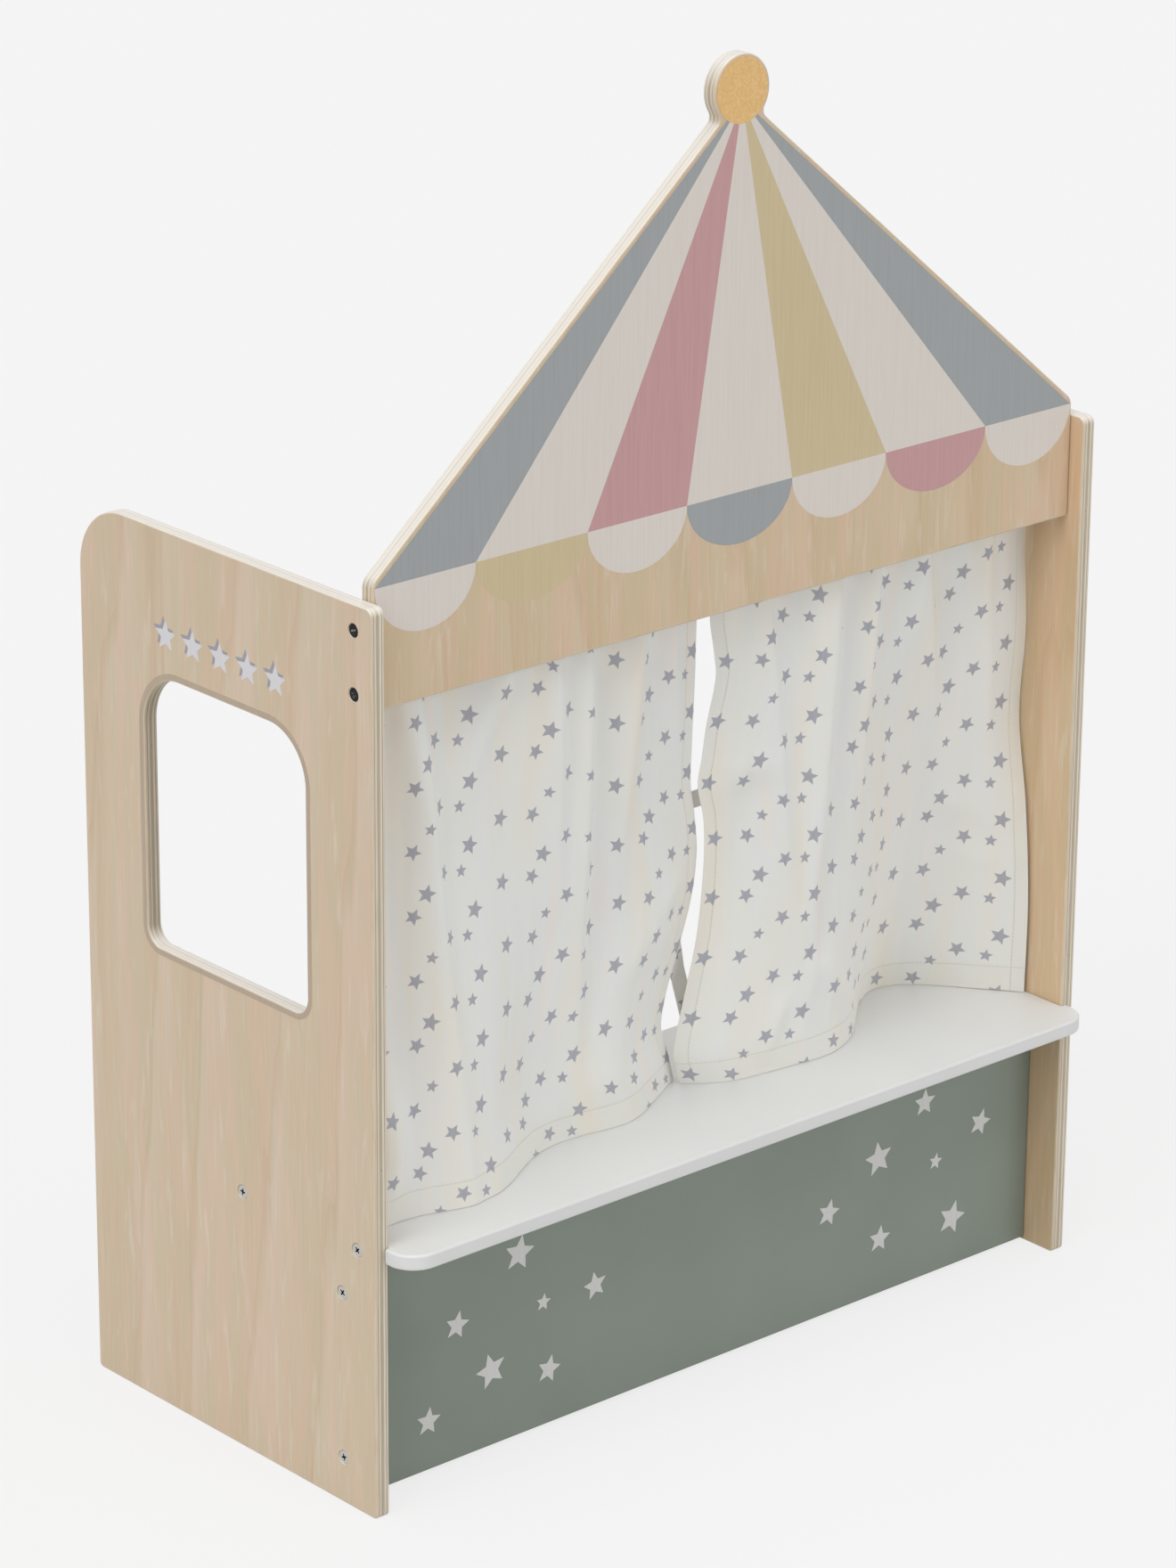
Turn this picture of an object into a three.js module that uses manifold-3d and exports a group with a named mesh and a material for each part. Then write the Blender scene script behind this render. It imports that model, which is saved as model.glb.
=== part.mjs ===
// A floor-standing puppet theater for a child: two plywood side panels with windows, a roof-shaped
// front board, a shelf for a stage, a painted base board, and a pair of curtains on a wooden rod.
// Millimetres, +Z up, +X to the right of someone who faces the stage. The stage faces -Y.
// The origin is on the floor, halfway between the side panels, at the middle of the overall depth.
import * as THREE from 'three';
import { mergeVertices } from 'three/addons/utils/BufferGeometryUtils.js';
import Module from 'manifold-3d';

const wasm = await Module();
wasm.setup();

// Whole stand
const standWidth = 700;
const boardThickness = 12;
const boardEdgeRound = 1.5;
const touchGap = 0.3; // between pieces that touch
const cutOverrun = 5; // how far a cutter reaches past the surface it opens

// Side panels
const sideDepth = 328;
const sideHeight = 685;
const sideTopBackRadius = 55;
const sideTopFrontRadius = 9;
const sideFootRadius = 4;
const windowWidth = 182.5;
const windowFrontMargin = 73; // from the panel's front edge
const windowSillHeight = 366;
const windowHeadGap = 31; // from the window's top up to the level of the roof board's bottom edge
const windowTopRadius = 40;
const windowSillRadius = 14;

// Roof board
const roofSetback = 13; // its front face, behind the side panels' front edges
const roofDrop = 79; // its bottom edge, below the side panels' top
const roofBottomRadius = 2;
const roofSideHeight = 91.5; // its upright sides, up to where the slopes would meet them
const eaveRadius = 14;
const roofRise = 286; // from there up to where the slopes would meet each other
const finialLift = 2.5; // centre of the round finial, above that
const finialRadius = 27.5;
const neckRadius = 6;

// Shelf
const shelfTopHeight = 211;
const shelfOverhang = 28; // in front of the side panels
const shelfReach = 165; // back edge, behind the side panels' front edges
const shelfCornerRadius = 22;
const shelfEarOverlap = 4; // how far the overhang covers each side panel's front edge
const shelfBackRadius = 4;
const shelfEdgeRound = 2;

// Base board
const baseSetback = 31;
const baseFloorGap = 3;

// Curtain rod, in a blind socket in each side panel
const rodDiameter = 12;
const rodDrop = 45; // its axis, below the side panels' top
const rodSetback = 47;
const rodSocketDepth = 6;
const rodEndRound = 1;
const rodFit = 0.3;

// Curtains, which hang from a pocket sewn round the rod
const clothThickness = 1.4;
const pocketEase = 0.5; // between the rod and the pocket
const curtainSideGap = 4; // from the side panel's inner face
const leftLeadX = -9; // each curtain's leading edge, just under the rod
const rightLeadX = 4;
const leftLeadFlare = 22; // how much further right each leading edge lies at the hem
const rightLeadFlare = 11;
const gatherDepth = 6; // half a gather's depth, just below the rod
const hemGatherDepth = 1.5;
const gatherStart = 45; // the gathers open out over this height, from the pocket down
const foldGrowth = 1.25; // above 1, the folds stay shallow near the pocket and open out towards the hem

// How each hem lies on the shelf, front to back, from its outer end to its leading edge: the offset
// and the run-back from the rod's line, a wide fold that waves once and a narrow one that waves twice.
// The gathers are at shares of the same run: at each the cloth turns sharply back to the right
const leftHem = {
  offset: -36, leadRunBack: 64,
  wideFold: 4, widePhaseShare: 0.32, narrowFold: 11.5, narrowPhaseShare: 0.153,
  gatherShares: [0.13, 0.3, 0.54, 0.8, 0.96],
};
const rightHem = {
  offset: 9.5, leadRunBack: 33,
  wideFold: 42, widePhaseShare: 0, narrowFold: 10.5, narrowPhaseShare: -0.245,
  gatherShares: [0.26, 0.49, 0.63, 0.79, 0.975],
};

// Fabric ties, one sewn behind each curtain near its leading edge. A tie's sway is to the right,
// its bow is from 0, a straight slant, to 1, level at the seam and upright at its end, and its end
// stands off behind the cloth. Its seam and its drop are shares of the cloth's height
const tieWidth = 14;
const tieThickness = 1.2;
const tieGap = 0.5; // behind the cloth, which is flat between its folds' steps
const tieMargin = 15; // a tie starts to pass behind the other curtain this far from its leading edge
const leftTie = { sewnShare: 0.684, dropShare: 0.213, sewnInset: 11, sway: 34, bowShare: 0, standOff: 6 };
const rightTie = { sewnShare: 0.451, dropShare: 0.25, sewnInset: 16, sway: -70, bowShare: 1, standOff: 22 };

// Flat-head screws and bolts; the head's rim lies just under the panel's face
const headSunk = 0.4;
const roofBolt = { headRadius: 5.5, headDepth: 3.2, shankRadius: 3, length: 46, recess: 6.4 };
const shelfScrew = { headRadius: 5, headDepth: 3, shankRadius: 2.2, length: 42, recess: 5.6 };
const baseScrew = { headRadius: 5, headDepth: 3, shankRadius: 2.2, length: 42, recess: 5.6 };
const recessSlot = 1.2;
const recessDepth = 1.8;
const screwFit = 0.3;
const screwTip = 3;
const roofBoltDrops = [65, 19]; // below the side panels' top
const shelfScrewSetbacks = [20, 150];
const baseScrewInset = 33; // from the base board's bottom and top edges

// Barrel nuts, in blind holes in the roof board's back
const nutRadius = 5;
const nutLength = 9.5;
const nutInset = 24; // its axis, from the roof board's upright side
const nutFit = 0.3;

// How finely curves are stepped
const arcSteps = 4;
const boreSides = 12;
const rodSides = 20;
const curtainColumns = 32;
const curtainRows = 9;
const pocketSteps = 7;
const pocketBoreSides = 8;
const tieSteps = 12;

// Faces and lines that several pieces share
const halfStand = standWidth / 2;
const halfInner = halfStand - boardThickness;
const frontFace = (shelfOverhang - sideDepth) / 2;
const backFace = frontFace + sideDepth;
const shelfFrontEdge = frontFace - shelfOverhang;
const roofFront = frontFace + roofSetback;
const roofBack = roofFront + boardThickness;
const baseFront = frontFace + baseSetback;
const baseBack = baseFront + boardThickness;
const shelfUnderside = shelfTopHeight - boardThickness;
const roofBottomHeight = sideHeight - roofDrop;
const eaveHeight = roofBottomHeight + roofSideHeight;
const finialHeight = eaveHeight + roofRise + finialLift;
const roofBoltHeights = roofBoltDrops.map((drop) => sideHeight - drop);
const windowHeight = roofBottomHeight - windowHeadGap - windowSillHeight;
const rodHeight = sideHeight - rodDrop;
const baseScrewHeights = [baseFloorGap + baseScrewInset, shelfUnderside - baseScrewInset];
const rodY = frontFace + rodSetback;
const roofBoltY = (roofFront + roofBack) / 2;
const baseScrewY = (baseFront + baseBack) / 2;
const shelfScrewZ = (shelfTopHeight + shelfUnderside) / 2;

// Colours and finishes
const plywood = { color: 0xcdb799, roughness: 0.62, metalness: 0 };
const whitePaint = { color: 0xe2e1de, roughness: 0.45, metalness: 0 };
const sagePaint = { color: 0x7f897c, roughness: 0.55, metalness: 0 };
const beech = { color: 0xd2b58c, roughness: 0.6, metalness: 0 };
const cotton = { color: 0xe6e3d9, roughness: 0.95, metalness: 0 };
const blackSteel = { color: 0x2c2c2e, roughness: 0.45, metalness: 0.8 };
const zincSteel = { color: 0xb4b4b2, roughness: 0.35, metalness: 0.9 };

const stand = new THREE.Group();

function addPiece(name, geometry, finish) {
  const mesh = new THREE.Mesh(geometry, new THREE.MeshStandardMaterial(finish));
  mesh.name = name;
  stand.add(mesh);
  return mesh;
}

// Solids for cutting

function toSolid(geometry) {
  const bare = geometry.clone();
  bare.deleteAttribute('normal');
  if (bare.attributes.uv) bare.deleteAttribute('uv');
  const merged = mergeVertices(bare);
  return new wasm.Manifold(new wasm.Mesh({
    numProp: 3,
    vertProperties: new Float32Array(merged.attributes.position.array),
    triVerts: new Uint32Array(merged.index.array),
  }));
}

function toGeometry(solid) {
  const mesh = solid.getMesh();
  const geometry = new THREE.BufferGeometry();
  geometry.setAttribute('position', new THREE.BufferAttribute(new Float32Array(mesh.vertProperties), 3));
  geometry.setIndex(new THREE.BufferAttribute(new Uint32Array(mesh.triVerts), 1));
  return geometry;
}

function cutFrom(geometry, cutters) {
  return toGeometry(cutters.reduce((solid, cutter) => solid.subtract(toSolid(cutter)), toSolid(geometry)));
}

// Outlines: straight runs with rounded corners; each corner is [first, second, radius]

function roundedOutline(corners, path) {
  const count = corners.length;
  for (let i = 0; i < count; i += 1) {
    const [x, y, radius] = corners[i];
    const corner = new THREE.Vector2(x, y);
    const before = corners[(i + count - 1) % count];
    const after = corners[(i + 1) % count];
    const toBefore = new THREE.Vector2(before[0], before[1]).sub(corner).normalize();
    const toAfter = new THREE.Vector2(after[0], after[1]).sub(corner).normalize();
    if (radius > 0) {
      const halfAngle = Math.acos(toBefore.dot(toAfter)) / 2;
      const centre = corner.clone().addScaledVector(
        toBefore.clone().add(toAfter).normalize(), radius / Math.sin(halfAngle));
      const start = corner.clone().addScaledVector(toBefore, radius / Math.tan(halfAngle)).sub(centre);
      const end = corner.clone().addScaledVector(toAfter, radius / Math.tan(halfAngle)).sub(centre);
      const clockwise = toBefore.cross(toAfter) > 0;
      path.absarc(centre.x, centre.y, radius, start.angle(), end.angle(), clockwise);
    } else if (i === 0) {
      path.moveTo(x, y);
    } else {
      path.lineTo(x, y);
    }
  }
  path.closePath();
  return path;
}

// A board whose outline is drawn in its own plane, with its edges eased all round
function board(outline, thickness, edgeRound) {
  const geometry = new THREE.ExtrudeGeometry(outline, {
    depth: thickness - 2 * edgeRound,
    curveSegments: arcSteps,
    bevelEnabled: true,
    bevelThickness: edgeRound,
    bevelSize: edgeRound,
    bevelOffset: -edgeRound,
    bevelSegments: 2,
  });
  return geometry.translate(0, 0, edgeRound);
}

const alongX = new THREE.Vector3(1, 0, 0);
const alongY = new THREE.Vector3(0, 1, 0);
const alongZ = new THREE.Vector3(0, 0, 1);

// Stands a board up to face the front: drawn in (x, height), its thickness runs towards -Y
function faceFront(geometry, backY) {
  const basis = new THREE.Matrix4().makeBasis(alongX, alongZ, alongY.clone().negate());
  return geometry.applyMatrix4(basis).translate(0, backY, 0);
}

// Stands a board up to face the side: drawn in (depth, height), its thickness runs towards +X
function faceSide(geometry, startX) {
  const basis = new THREE.Matrix4().makeBasis(alongY, alongZ, alongX);
  return geometry.applyMatrix4(basis).translate(startX, 0, 0);
}

// A turned solid on the X axis, from a profile of [distance along the axis, radius]
function turnedAlongX(profile, sides, direction) {
  const points = profile.map(([along, radius]) => new THREE.Vector2(radius, along));
  const geometry = new THREE.LatheGeometry(points, sides);
  return geometry.rotateZ(direction > 0 ? -Math.PI / 2 : Math.PI / 2);
}

// Flat-head screws, driven in from a side panel's outer face towards the middle of the stand

function screwProfile(screw, clearance, headExtra, tipExtra) {
  const head = screw.headRadius + clearance;
  const shank = screw.shankRadius + clearance;
  const end = screw.length + tipExtra;
  const tip = Math.min(screwTip, screw.shankRadius);
  return [
    [-headExtra, 0], [-headExtra, head], [0, head],
    [screw.headDepth, shank], [end - tip, shank], [end, shank / 2], [end, 0],
  ];
}

function crossRecess(screw, direction) {
  const depth = recessDepth + cutOverrun;
  const slot = new THREE.BoxGeometry(depth, screw.recess, recessSlot);
  const upright = slot.translate(direction * (recessDepth - depth / 2), 0, 0);
  return [upright, upright.clone().rotateX(Math.PI / 2)];
}

function screwSolid(screw, direction) {
  const body = turnedAlongX(screwProfile(screw, 0, 0, 0), boreSides, direction);
  return cutFrom(body, crossRecess(screw, direction));
}

function screwHole(screw, direction) {
  return turnedAlongX(screwProfile(screw, screwFit, cutOverrun, screwFit), boreSides, direction);
}

// Every screw: where its axis is, which side panel it goes through and which board it holds
const sides = [{ side: 'left', sign: -1 }, { side: 'right', sign: 1 }];
const screws = [];
for (const { side, sign } of sides) {
  const rows = [
    { kind: 'roof_bolt', labels: ['lower', 'upper'], screw: roofBolt, finish: blackSteel, holds: 'roof',
      places: roofBoltHeights.map((z) => [roofBoltY, z]) },
    { kind: 'shelf_screw', labels: ['front', 'back'], screw: shelfScrew, finish: zincSteel, holds: 'shelf',
      places: shelfScrewSetbacks.map((setback) => [frontFace + setback, shelfScrewZ]) },
    { kind: 'base_screw', labels: ['lower', 'upper'], screw: baseScrew, finish: zincSteel, holds: 'base',
      places: baseScrewHeights.map((z) => [baseScrewY, z]) },
  ];
  for (const { kind, labels, screw, finish, holds, places } of rows) {
    places.forEach(([y, z], i) => screws.push({
      name: `${side}_${kind}_${labels[i]}`, screw, finish, holds, sign, y, z,
      x: sign * (halfStand - headSunk), direction: -sign,
    }));
  }
}

function holesFor(test) {
  return screws.filter(test).map(({ screw, x, y, z, direction }) =>
    screwHole(screw, direction).translate(x, y, z));
}

// Side panels

function windowOutline() {
  const front = frontFace + windowFrontMargin;
  const back = front + windowWidth;
  const top = windowSillHeight + windowHeight;
  return roundedOutline([
    [front, windowSillHeight, windowSillRadius], [front, top, windowTopRadius],
    [back, top, windowTopRadius], [back, windowSillHeight, windowSillRadius],
  ], new THREE.Path());
}

function sidePanel(sign) {
  const outline = roundedOutline([
    [frontFace, 0, sideFootRadius], [backFace, 0, sideFootRadius],
    [backFace, sideHeight, sideTopBackRadius], [frontFace, sideHeight, sideTopFrontRadius],
  ], new THREE.Shape());
  outline.holes.push(windowOutline());
  const startX = sign < 0 ? -halfStand : halfInner;
  const panel = faceSide(board(outline, boardThickness, boardEdgeRound), startX);
  const socketDepth = rodSocketDepth + cutOverrun;
  const socket = new THREE.CylinderGeometry(
    rodDiameter / 2 + rodFit, rodDiameter / 2 + rodFit, socketDepth, rodSides)
    .rotateZ(Math.PI / 2)
    .translate(sign * (halfInner + rodSocketDepth - socketDepth / 2), rodY, rodHeight);
  return cutFrom(panel, [socket, ...holesFor((entry) => entry.sign === sign)]);
}

// Roof board: an upright-sided board, two slopes, and a round finial with hollow necks

function roofOutline() {
  const side = halfInner - touchGap;
  const slopeLength = Math.hypot(side, roofRise);
  const outward = new THREE.Vector2(roofRise / slopeLength, side / slopeLength);
  const upSlope = new THREE.Vector2(-side / slopeLength, roofRise / slopeLength);

  // the neck's centre lies a neck radius outside the slope and outside the finial
  const finial = new THREE.Vector2(0, finialHeight);
  const offsetStart = new THREE.Vector2(side, eaveHeight).addScaledVector(outward, neckRadius);
  const fromFinial = offsetStart.clone().sub(finial);
  const reach = finialRadius + neckRadius;
  const along = -fromFinial.dot(upSlope);
  const across = fromFinial.clone().addScaledVector(upSlope, along).length();
  const chord = Math.sqrt(reach * reach - across * across);
  const neck = offsetStart.clone().addScaledVector(upSlope, along - chord);
  const onSlope = outward.clone().negate().angle();
  const onFinial = finial.clone().sub(neck).angle();
  const finialStart = neck.clone().sub(finial).angle();

  const shape = new THREE.Shape();
  const eaveTurn = Math.atan2(outward.y, outward.x);
  const eaveRun = eaveRadius * Math.tan(eaveTurn / 2);
  const footTop = roofBottomHeight + roofBottomRadius;
  const right = side - eaveRadius;
  shape.absarc(side - roofBottomRadius, footTop, roofBottomRadius, -Math.PI / 2, 0, false);
  shape.absarc(right, eaveHeight - eaveRun, eaveRadius, 0, eaveTurn, false);
  shape.absarc(neck.x, neck.y, neckRadius, onSlope, onFinial, true);
  shape.absarc(0, finialHeight, finialRadius, finialStart, Math.PI / 2, false);
  shape.absarc(0, finialHeight, finialRadius, Math.PI / 2, Math.PI - finialStart, false);
  shape.absarc(-neck.x, neck.y, neckRadius, Math.PI - onFinial, Math.PI - onSlope, true);
  shape.absarc(-right, eaveHeight - eaveRun, eaveRadius, Math.PI - eaveTurn, Math.PI, false);
  shape.absarc(roofBottomRadius - side, footTop, roofBottomRadius, Math.PI, Math.PI * 3 / 2, false);
  shape.closePath();
  return shape;
}

function nutX(sign) {
  return sign * (halfInner - touchGap - nutInset);
}

function nutHole(sign, z) {
  const radius = nutRadius + nutFit;
  const depth = nutLength + nutFit + cutOverrun;
  return new THREE.CylinderGeometry(radius, radius, depth, boreSides)
    .translate(nutX(sign), roofBack - nutLength - nutFit + depth / 2, z);
}

function roofPanel() {
  const panel = faceFront(board(roofOutline(), boardThickness, boardEdgeRound), roofBack);
  const nutHoles = sides.flatMap(({ sign }) => roofBoltHeights.map((z) => nutHole(sign, z)));
  return cutFrom(panel, [...nutHoles, ...holesFor((entry) => entry.holds === 'roof')]);
}

function barrelNut(sign, z) {
  const barrel = new THREE.CylinderGeometry(nutRadius, nutRadius, nutLength, boreSides)
    .translate(nutX(sign), roofBack - nutLength / 2, z);
  const bore = roofBolt.shankRadius + screwFit;
  const boreLength = 2 * (nutRadius + cutOverrun);
  const thread = new THREE.CylinderGeometry(bore, bore, boreLength, boreSides)
    .rotateZ(Math.PI / 2)
    .translate(nutX(sign), roofBoltY, z);
  return cutFrom(barrel, [thread]);
}

// Shelf: it fits between the side panels, and its overhang has a small ear over each front edge

function stageShelf() {
  const inner = halfInner - touchGap;
  const ear = halfInner + shelfEarOverlap;
  const back = frontFace + shelfReach;
  const notch = frontFace - touchGap;
  const outline = roundedOutline([
    [-ear, shelfFrontEdge, shelfCornerRadius], [ear, shelfFrontEdge, shelfCornerRadius],
    [ear, notch, 0], [inner, notch, 0], [inner, back, shelfBackRadius],
    [-inner, back, shelfBackRadius], [-inner, notch, 0], [-ear, notch, 0],
  ], new THREE.Shape());
  const shelf = board(outline, boardThickness, shelfEdgeRound).translate(0, 0, shelfUnderside);
  return cutFrom(shelf, holesFor((entry) => entry.holds === 'shelf'));
}

// Base board, under the shelf and between the side panels

function basePanel() {
  const inner = halfInner - touchGap;
  const top = shelfUnderside - touchGap;
  const outline = roundedOutline([
    [-inner, baseFloorGap, 0], [inner, baseFloorGap, 0], [inner, top, 0], [-inner, top, 0],
  ], new THREE.Shape());
  const panel = faceFront(board(outline, boardThickness, boardEdgeRound), baseBack);
  return cutFrom(panel, holesFor((entry) => entry.holds === 'base'));
}

// Curtain rod

function curtainRod() {
  const radius = rodDiameter / 2;
  const half = halfInner + rodSocketDepth - touchGap;
  const rod = turnedAlongX([
    [-half, 0], [-half, radius - rodEndRound], [rodEndRound - half, radius],
    [half - rodEndRound, radius], [half, radius - rodEndRound], [half, 0],
  ], rodSides, 1);
  return rod.translate(0, rodY, rodHeight);
}

// Curtains

const pocketInner = rodDiameter / 2 + pocketEase;
const pocketOuter = pocketInner + clothThickness;
const hemHeight = shelfTopHeight + touchGap;
const clothTop = rodHeight - pocketInner;

// Which gather a place lies in, and how far through it: a whole number at each turn back
function gatherCycle(gatherShares, share) {
  let next = 1;
  while (next < gatherShares.length - 1 && share > gatherShares[next]) next += 1;
  const from = gatherShares[next - 1];
  return next - 1 + (share - from) / (gatherShares[next] - from);
}

// How far behind the rod's line the cloth hangs: share runs from the curtain's outer end to its
// leading edge, and the folds grow from the pocket down to the hem while the gathers fade
function foldOffset(sign, share, height) {
  const hem = sign < 0 ? leftHem : rightHem;
  const down = shareDown(height);
  const turn = 2 * Math.PI;
  const hemOffset = hem.offset + hem.leadRunBack * share
    + hem.wideFold * Math.sin(turn * (share + hem.widePhaseShare))
    + hem.narrowFold * Math.sin(turn * (2 * share + hem.narrowPhaseShare));
  const angle = turn * gatherCycle(hem.gatherShares, share);
  const open = Math.min(1, (clothTop - height) / gatherStart);
  const depth = (gatherDepth + (hemGatherDepth - gatherDepth) * down * down) * open;
  return hemOffset * down ** foldGrowth - sign * depth * (Math.sin(angle) + Math.sin(2 * angle) / 2);
}

function shareDown(height) {
  return (clothTop - height) / (clothTop - hemHeight);
}

// Where a curtain starts and ends at a height: its leading edge leans to the right towards the hem
function curtainSpan(sign, height) {
  const outer = sign * (halfInner - curtainSideGap);
  const top = sign < 0 ? leftLeadX : rightLeadX;
  const flare = sign < 0 ? leftLeadFlare : rightLeadFlare;
  return { outer, lead: top + flare * Math.max(0, shareDown(height)) };
}

// One column of the cloth, as [y, z] across the rod: the outside goes round the pocket and down
// the cloth, and the inside is the pocket's bore
function curtainSection(sign, share) {
  const half = clothThickness / 2;
  const openAngle = Math.asin(half / pocketOuter);
  const outside = [];
  for (let i = 0; i <= pocketSteps; i += 1) {
    const angle = openAngle + (2 * (Math.PI - openAngle) * i) / pocketSteps;
    outside.push([rodY - pocketOuter * Math.sin(angle), rodHeight - pocketOuter * Math.cos(angle)]);
  }
  const start = outside[0][1];
  const rowPoint = (row, side) => {
    const height = start + ((hemHeight - start) * row) / curtainRows;
    return [rodY + foldOffset(sign, share, height) + side * half, height];
  };
  for (let row = 1; row <= curtainRows; row += 1) outside.push(rowPoint(row, 1));
  for (let row = curtainRows; row >= 1; row -= 1) outside.push(rowPoint(row, -1));
  const inside = [];
  for (let i = 0; i < pocketBoreSides; i += 1) {
    const angle = (2 * Math.PI * (i + 1 / 2)) / pocketBoreSides;
    const reach = pocketInner / Math.cos(Math.PI / pocketBoreSides);
    inside.push([rodY - reach * Math.sin(angle), rodHeight - reach * Math.cos(angle)]);
  }
  return { outside, inside };
}

// Joins the columns into a closed skin; placeX gives a column's place at a height
function skinColumns(columns, placeX) {
  const outsideCount = columns[0].outside.length;
  const insideCount = columns[0].inside.length;
  const perColumn = outsideCount + insideCount;
  const positions = [];
  columns.forEach(({ outside, inside }, i) => {
    for (const [y, z] of [...outside, ...inside]) positions.push(placeX(i, z), y, z);
  });
  const triangles = [];
  const addLoop = (count, start, flip) => {
    for (let i = 0; i + 1 < columns.length; i += 1) {
      for (let j = 0; j < count; j += 1) {
        const a = i * perColumn + start + j;
        const b = i * perColumn + start + ((j + 1) % count);
        const c = a + perColumn;
        const d = b + perColumn;
        triangles.push(...(flip ? [a, c, b, b, c, d] : [a, b, c, b, d, c]));
      }
    }
  };
  const rising = placeX(columns.length - 1, rodHeight) > placeX(0, rodHeight);
  addLoop(outsideCount, 0, rising);
  addLoop(insideCount, outsideCount, !rising);
  const last = (columns.length - 1) * perColumn;
  for (const [offset, column, far] of [[0, columns[0], false], [last, columns[columns.length - 1], true]]) {
    const contour = column.outside.map(([y, z]) => new THREE.Vector2(y, z));
    const hole = column.inside.map(([y, z]) => new THREE.Vector2(y, z));
    const turned = THREE.ShapeUtils.isClockWise(contour);
    for (const [a, b, c] of THREE.ShapeUtils.triangulateShape(contour, [hole])) {
      const flip = (far === rising) !== turned;
      triangles.push(offset + a, offset + (flip ? c : b), offset + (flip ? b : c));
    }
  }
  const geometry = new THREE.BufferGeometry();
  geometry.setAttribute('position', new THREE.Float32BufferAttribute(positions, 3));
  geometry.setIndex(triangles);
  return geometry;
}

function curtain(sign) {
  const columns = [];
  for (let i = 0; i <= curtainColumns; i += 1) {
    columns.push(curtainSection(sign, i / curtainColumns));
  }
  return skinColumns(columns, (i, height) => {
    const { outer, lead } = curtainSpan(sign, height);
    return outer + ((lead - outer) * i) / curtainColumns;
  });
}

// How far behind the rod's line the faceted cloth hangs, between two of its columns
function facetOffset(sign, share, height) {
  const column = Math.min(Math.floor(share * curtainColumns), curtainColumns - 1);
  const past = share * curtainColumns - column;
  const [from, to] = [column, column + 1].map((i) => foldOffset(sign, i / curtainColumns, height));
  return from + (to - from) * past;
}

// How far back the cloth reaches behind a tie's point: a tie keeps behind its own curtain's line,
// also past its leading edge, and behind the other curtain where it passes it
function clothBack(ownSign, x, z) {
  const backs = sides.map(({ sign }) => {
    const { outer, lead } = curtainSpan(sign, z);
    const share = (x - outer) / (lead - outer);
    const counts = sign === ownSign || share <= 1 || Math.abs(x - lead) <= tieMargin;
    return counts ? facetOffset(sign, Math.min(1, share), z) : -Infinity;
  });
  return rodY + Math.max(...backs) + clothThickness / 2;
}

// A flat tie hangs from a seam behind its curtain and slants or bows to one side on its way down
function curtainTie(sign, tie) {
  const clothHeight = clothTop - hemHeight;
  const sewnHeight = clothTop - clothHeight * tie.sewnShare;
  const sewnX = curtainSpan(sign, sewnHeight).lead + sign * tie.sewnInset;
  const along = (share) => {
    const quarter = (Math.PI / 2) * share;
    const across = (1 - tie.bowShare) * share + tie.bowShare * Math.sin(quarter);
    const fallen = (1 - tie.bowShare) * share + tie.bowShare * (1 - Math.cos(quarter));
    return new THREE.Vector2(sewnX + tie.sway * across, sewnHeight - clothHeight * tie.dropShare * fallen);
  };
  const positions = [];
  const triangles = [];
  for (let i = 0; i <= tieSteps; i += 1) {
    const share = i / tieSteps;
    const centre = along(share);
    const heading = along(share + 1 / tieSteps).sub(along(share - 1 / tieSteps)).normalize();
    const edge = new THREE.Vector2(-heading.y, heading.x).multiplyScalar(tieWidth / 2);
    const right = centre.clone().add(edge);
    const left = centre.clone().sub(edge);
    const [rightBack, middleBack, leftBack] = [right, centre, left].map((point) =>
      clothBack(sign, point.x, point.y));
    const bulge = Math.max(0, middleBack - (rightBack + leftBack) / 2);
    const off = bulge + tieGap + tie.standOff * Math.min(1, 2 * share);
    positions.push(left.x, leftBack + off, left.y, right.x, rightBack + off, right.y);
    positions.push(right.x, rightBack + off + tieThickness, right.y);
    positions.push(left.x, leftBack + off + tieThickness, left.y);
    if (i === 0) continue;
    const base = 4 * i;
    for (let j = 0; j < 4; j += 1) {
      const k = (j + 1) % 4;
      triangles.push(base + j, base + k, base - 4 + j, base + k, base - 4 + k, base - 4 + j);
    }
  }
  const end = 4 * tieSteps;
  triangles.push(0, 1, 2, 0, 2, 3, end, end + 2, end + 1, end, end + 3, end + 2);
  const geometry = new THREE.BufferGeometry();
  geometry.setAttribute('position', new THREE.Float32BufferAttribute(positions, 3));
  geometry.setIndex(triangles);
  return geometry;
}

// The stand, piece by piece

for (const { side, sign } of sides) addPiece(`${side}_side_panel`, sidePanel(sign), plywood);
addPiece('roof_panel', roofPanel(), plywood);
addPiece('stage_shelf', stageShelf(), whitePaint);
addPiece('base_panel', basePanel(), sagePaint);
addPiece('curtain_rod', curtainRod(), beech);
for (const { side, sign } of sides) addPiece(`${side}_curtain`, curtain(sign), cotton);
addPiece('left_curtain_tie', curtainTie(-1, leftTie), cotton);
addPiece('right_curtain_tie', curtainTie(1, rightTie), cotton);
for (const { name, screw, finish, x, y, z, direction } of screws) {
  addPiece(name, screwSolid(screw, direction), finish).position.set(x, y, z);
}
for (const { side, sign } of sides) {
  ['lower', 'upper'].forEach((label, i) => {
    addPiece(`${side}_barrel_nut_${label}`, barrelNut(sign, roofBoltHeights[i]), zincSteel);
  });
}

export default stand;
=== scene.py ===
# A child's puppet theater stand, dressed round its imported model: plywood boards with printed
# stripes and stars, a painted shelf and base board, screws, a rod and two printed cotton curtains.
# Metres, +Z up, the stage faces -Y. Sizes are written in millimetres and turned by mm.
import math

import bpy
from mathutils import Matrix, Vector, noise


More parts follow.
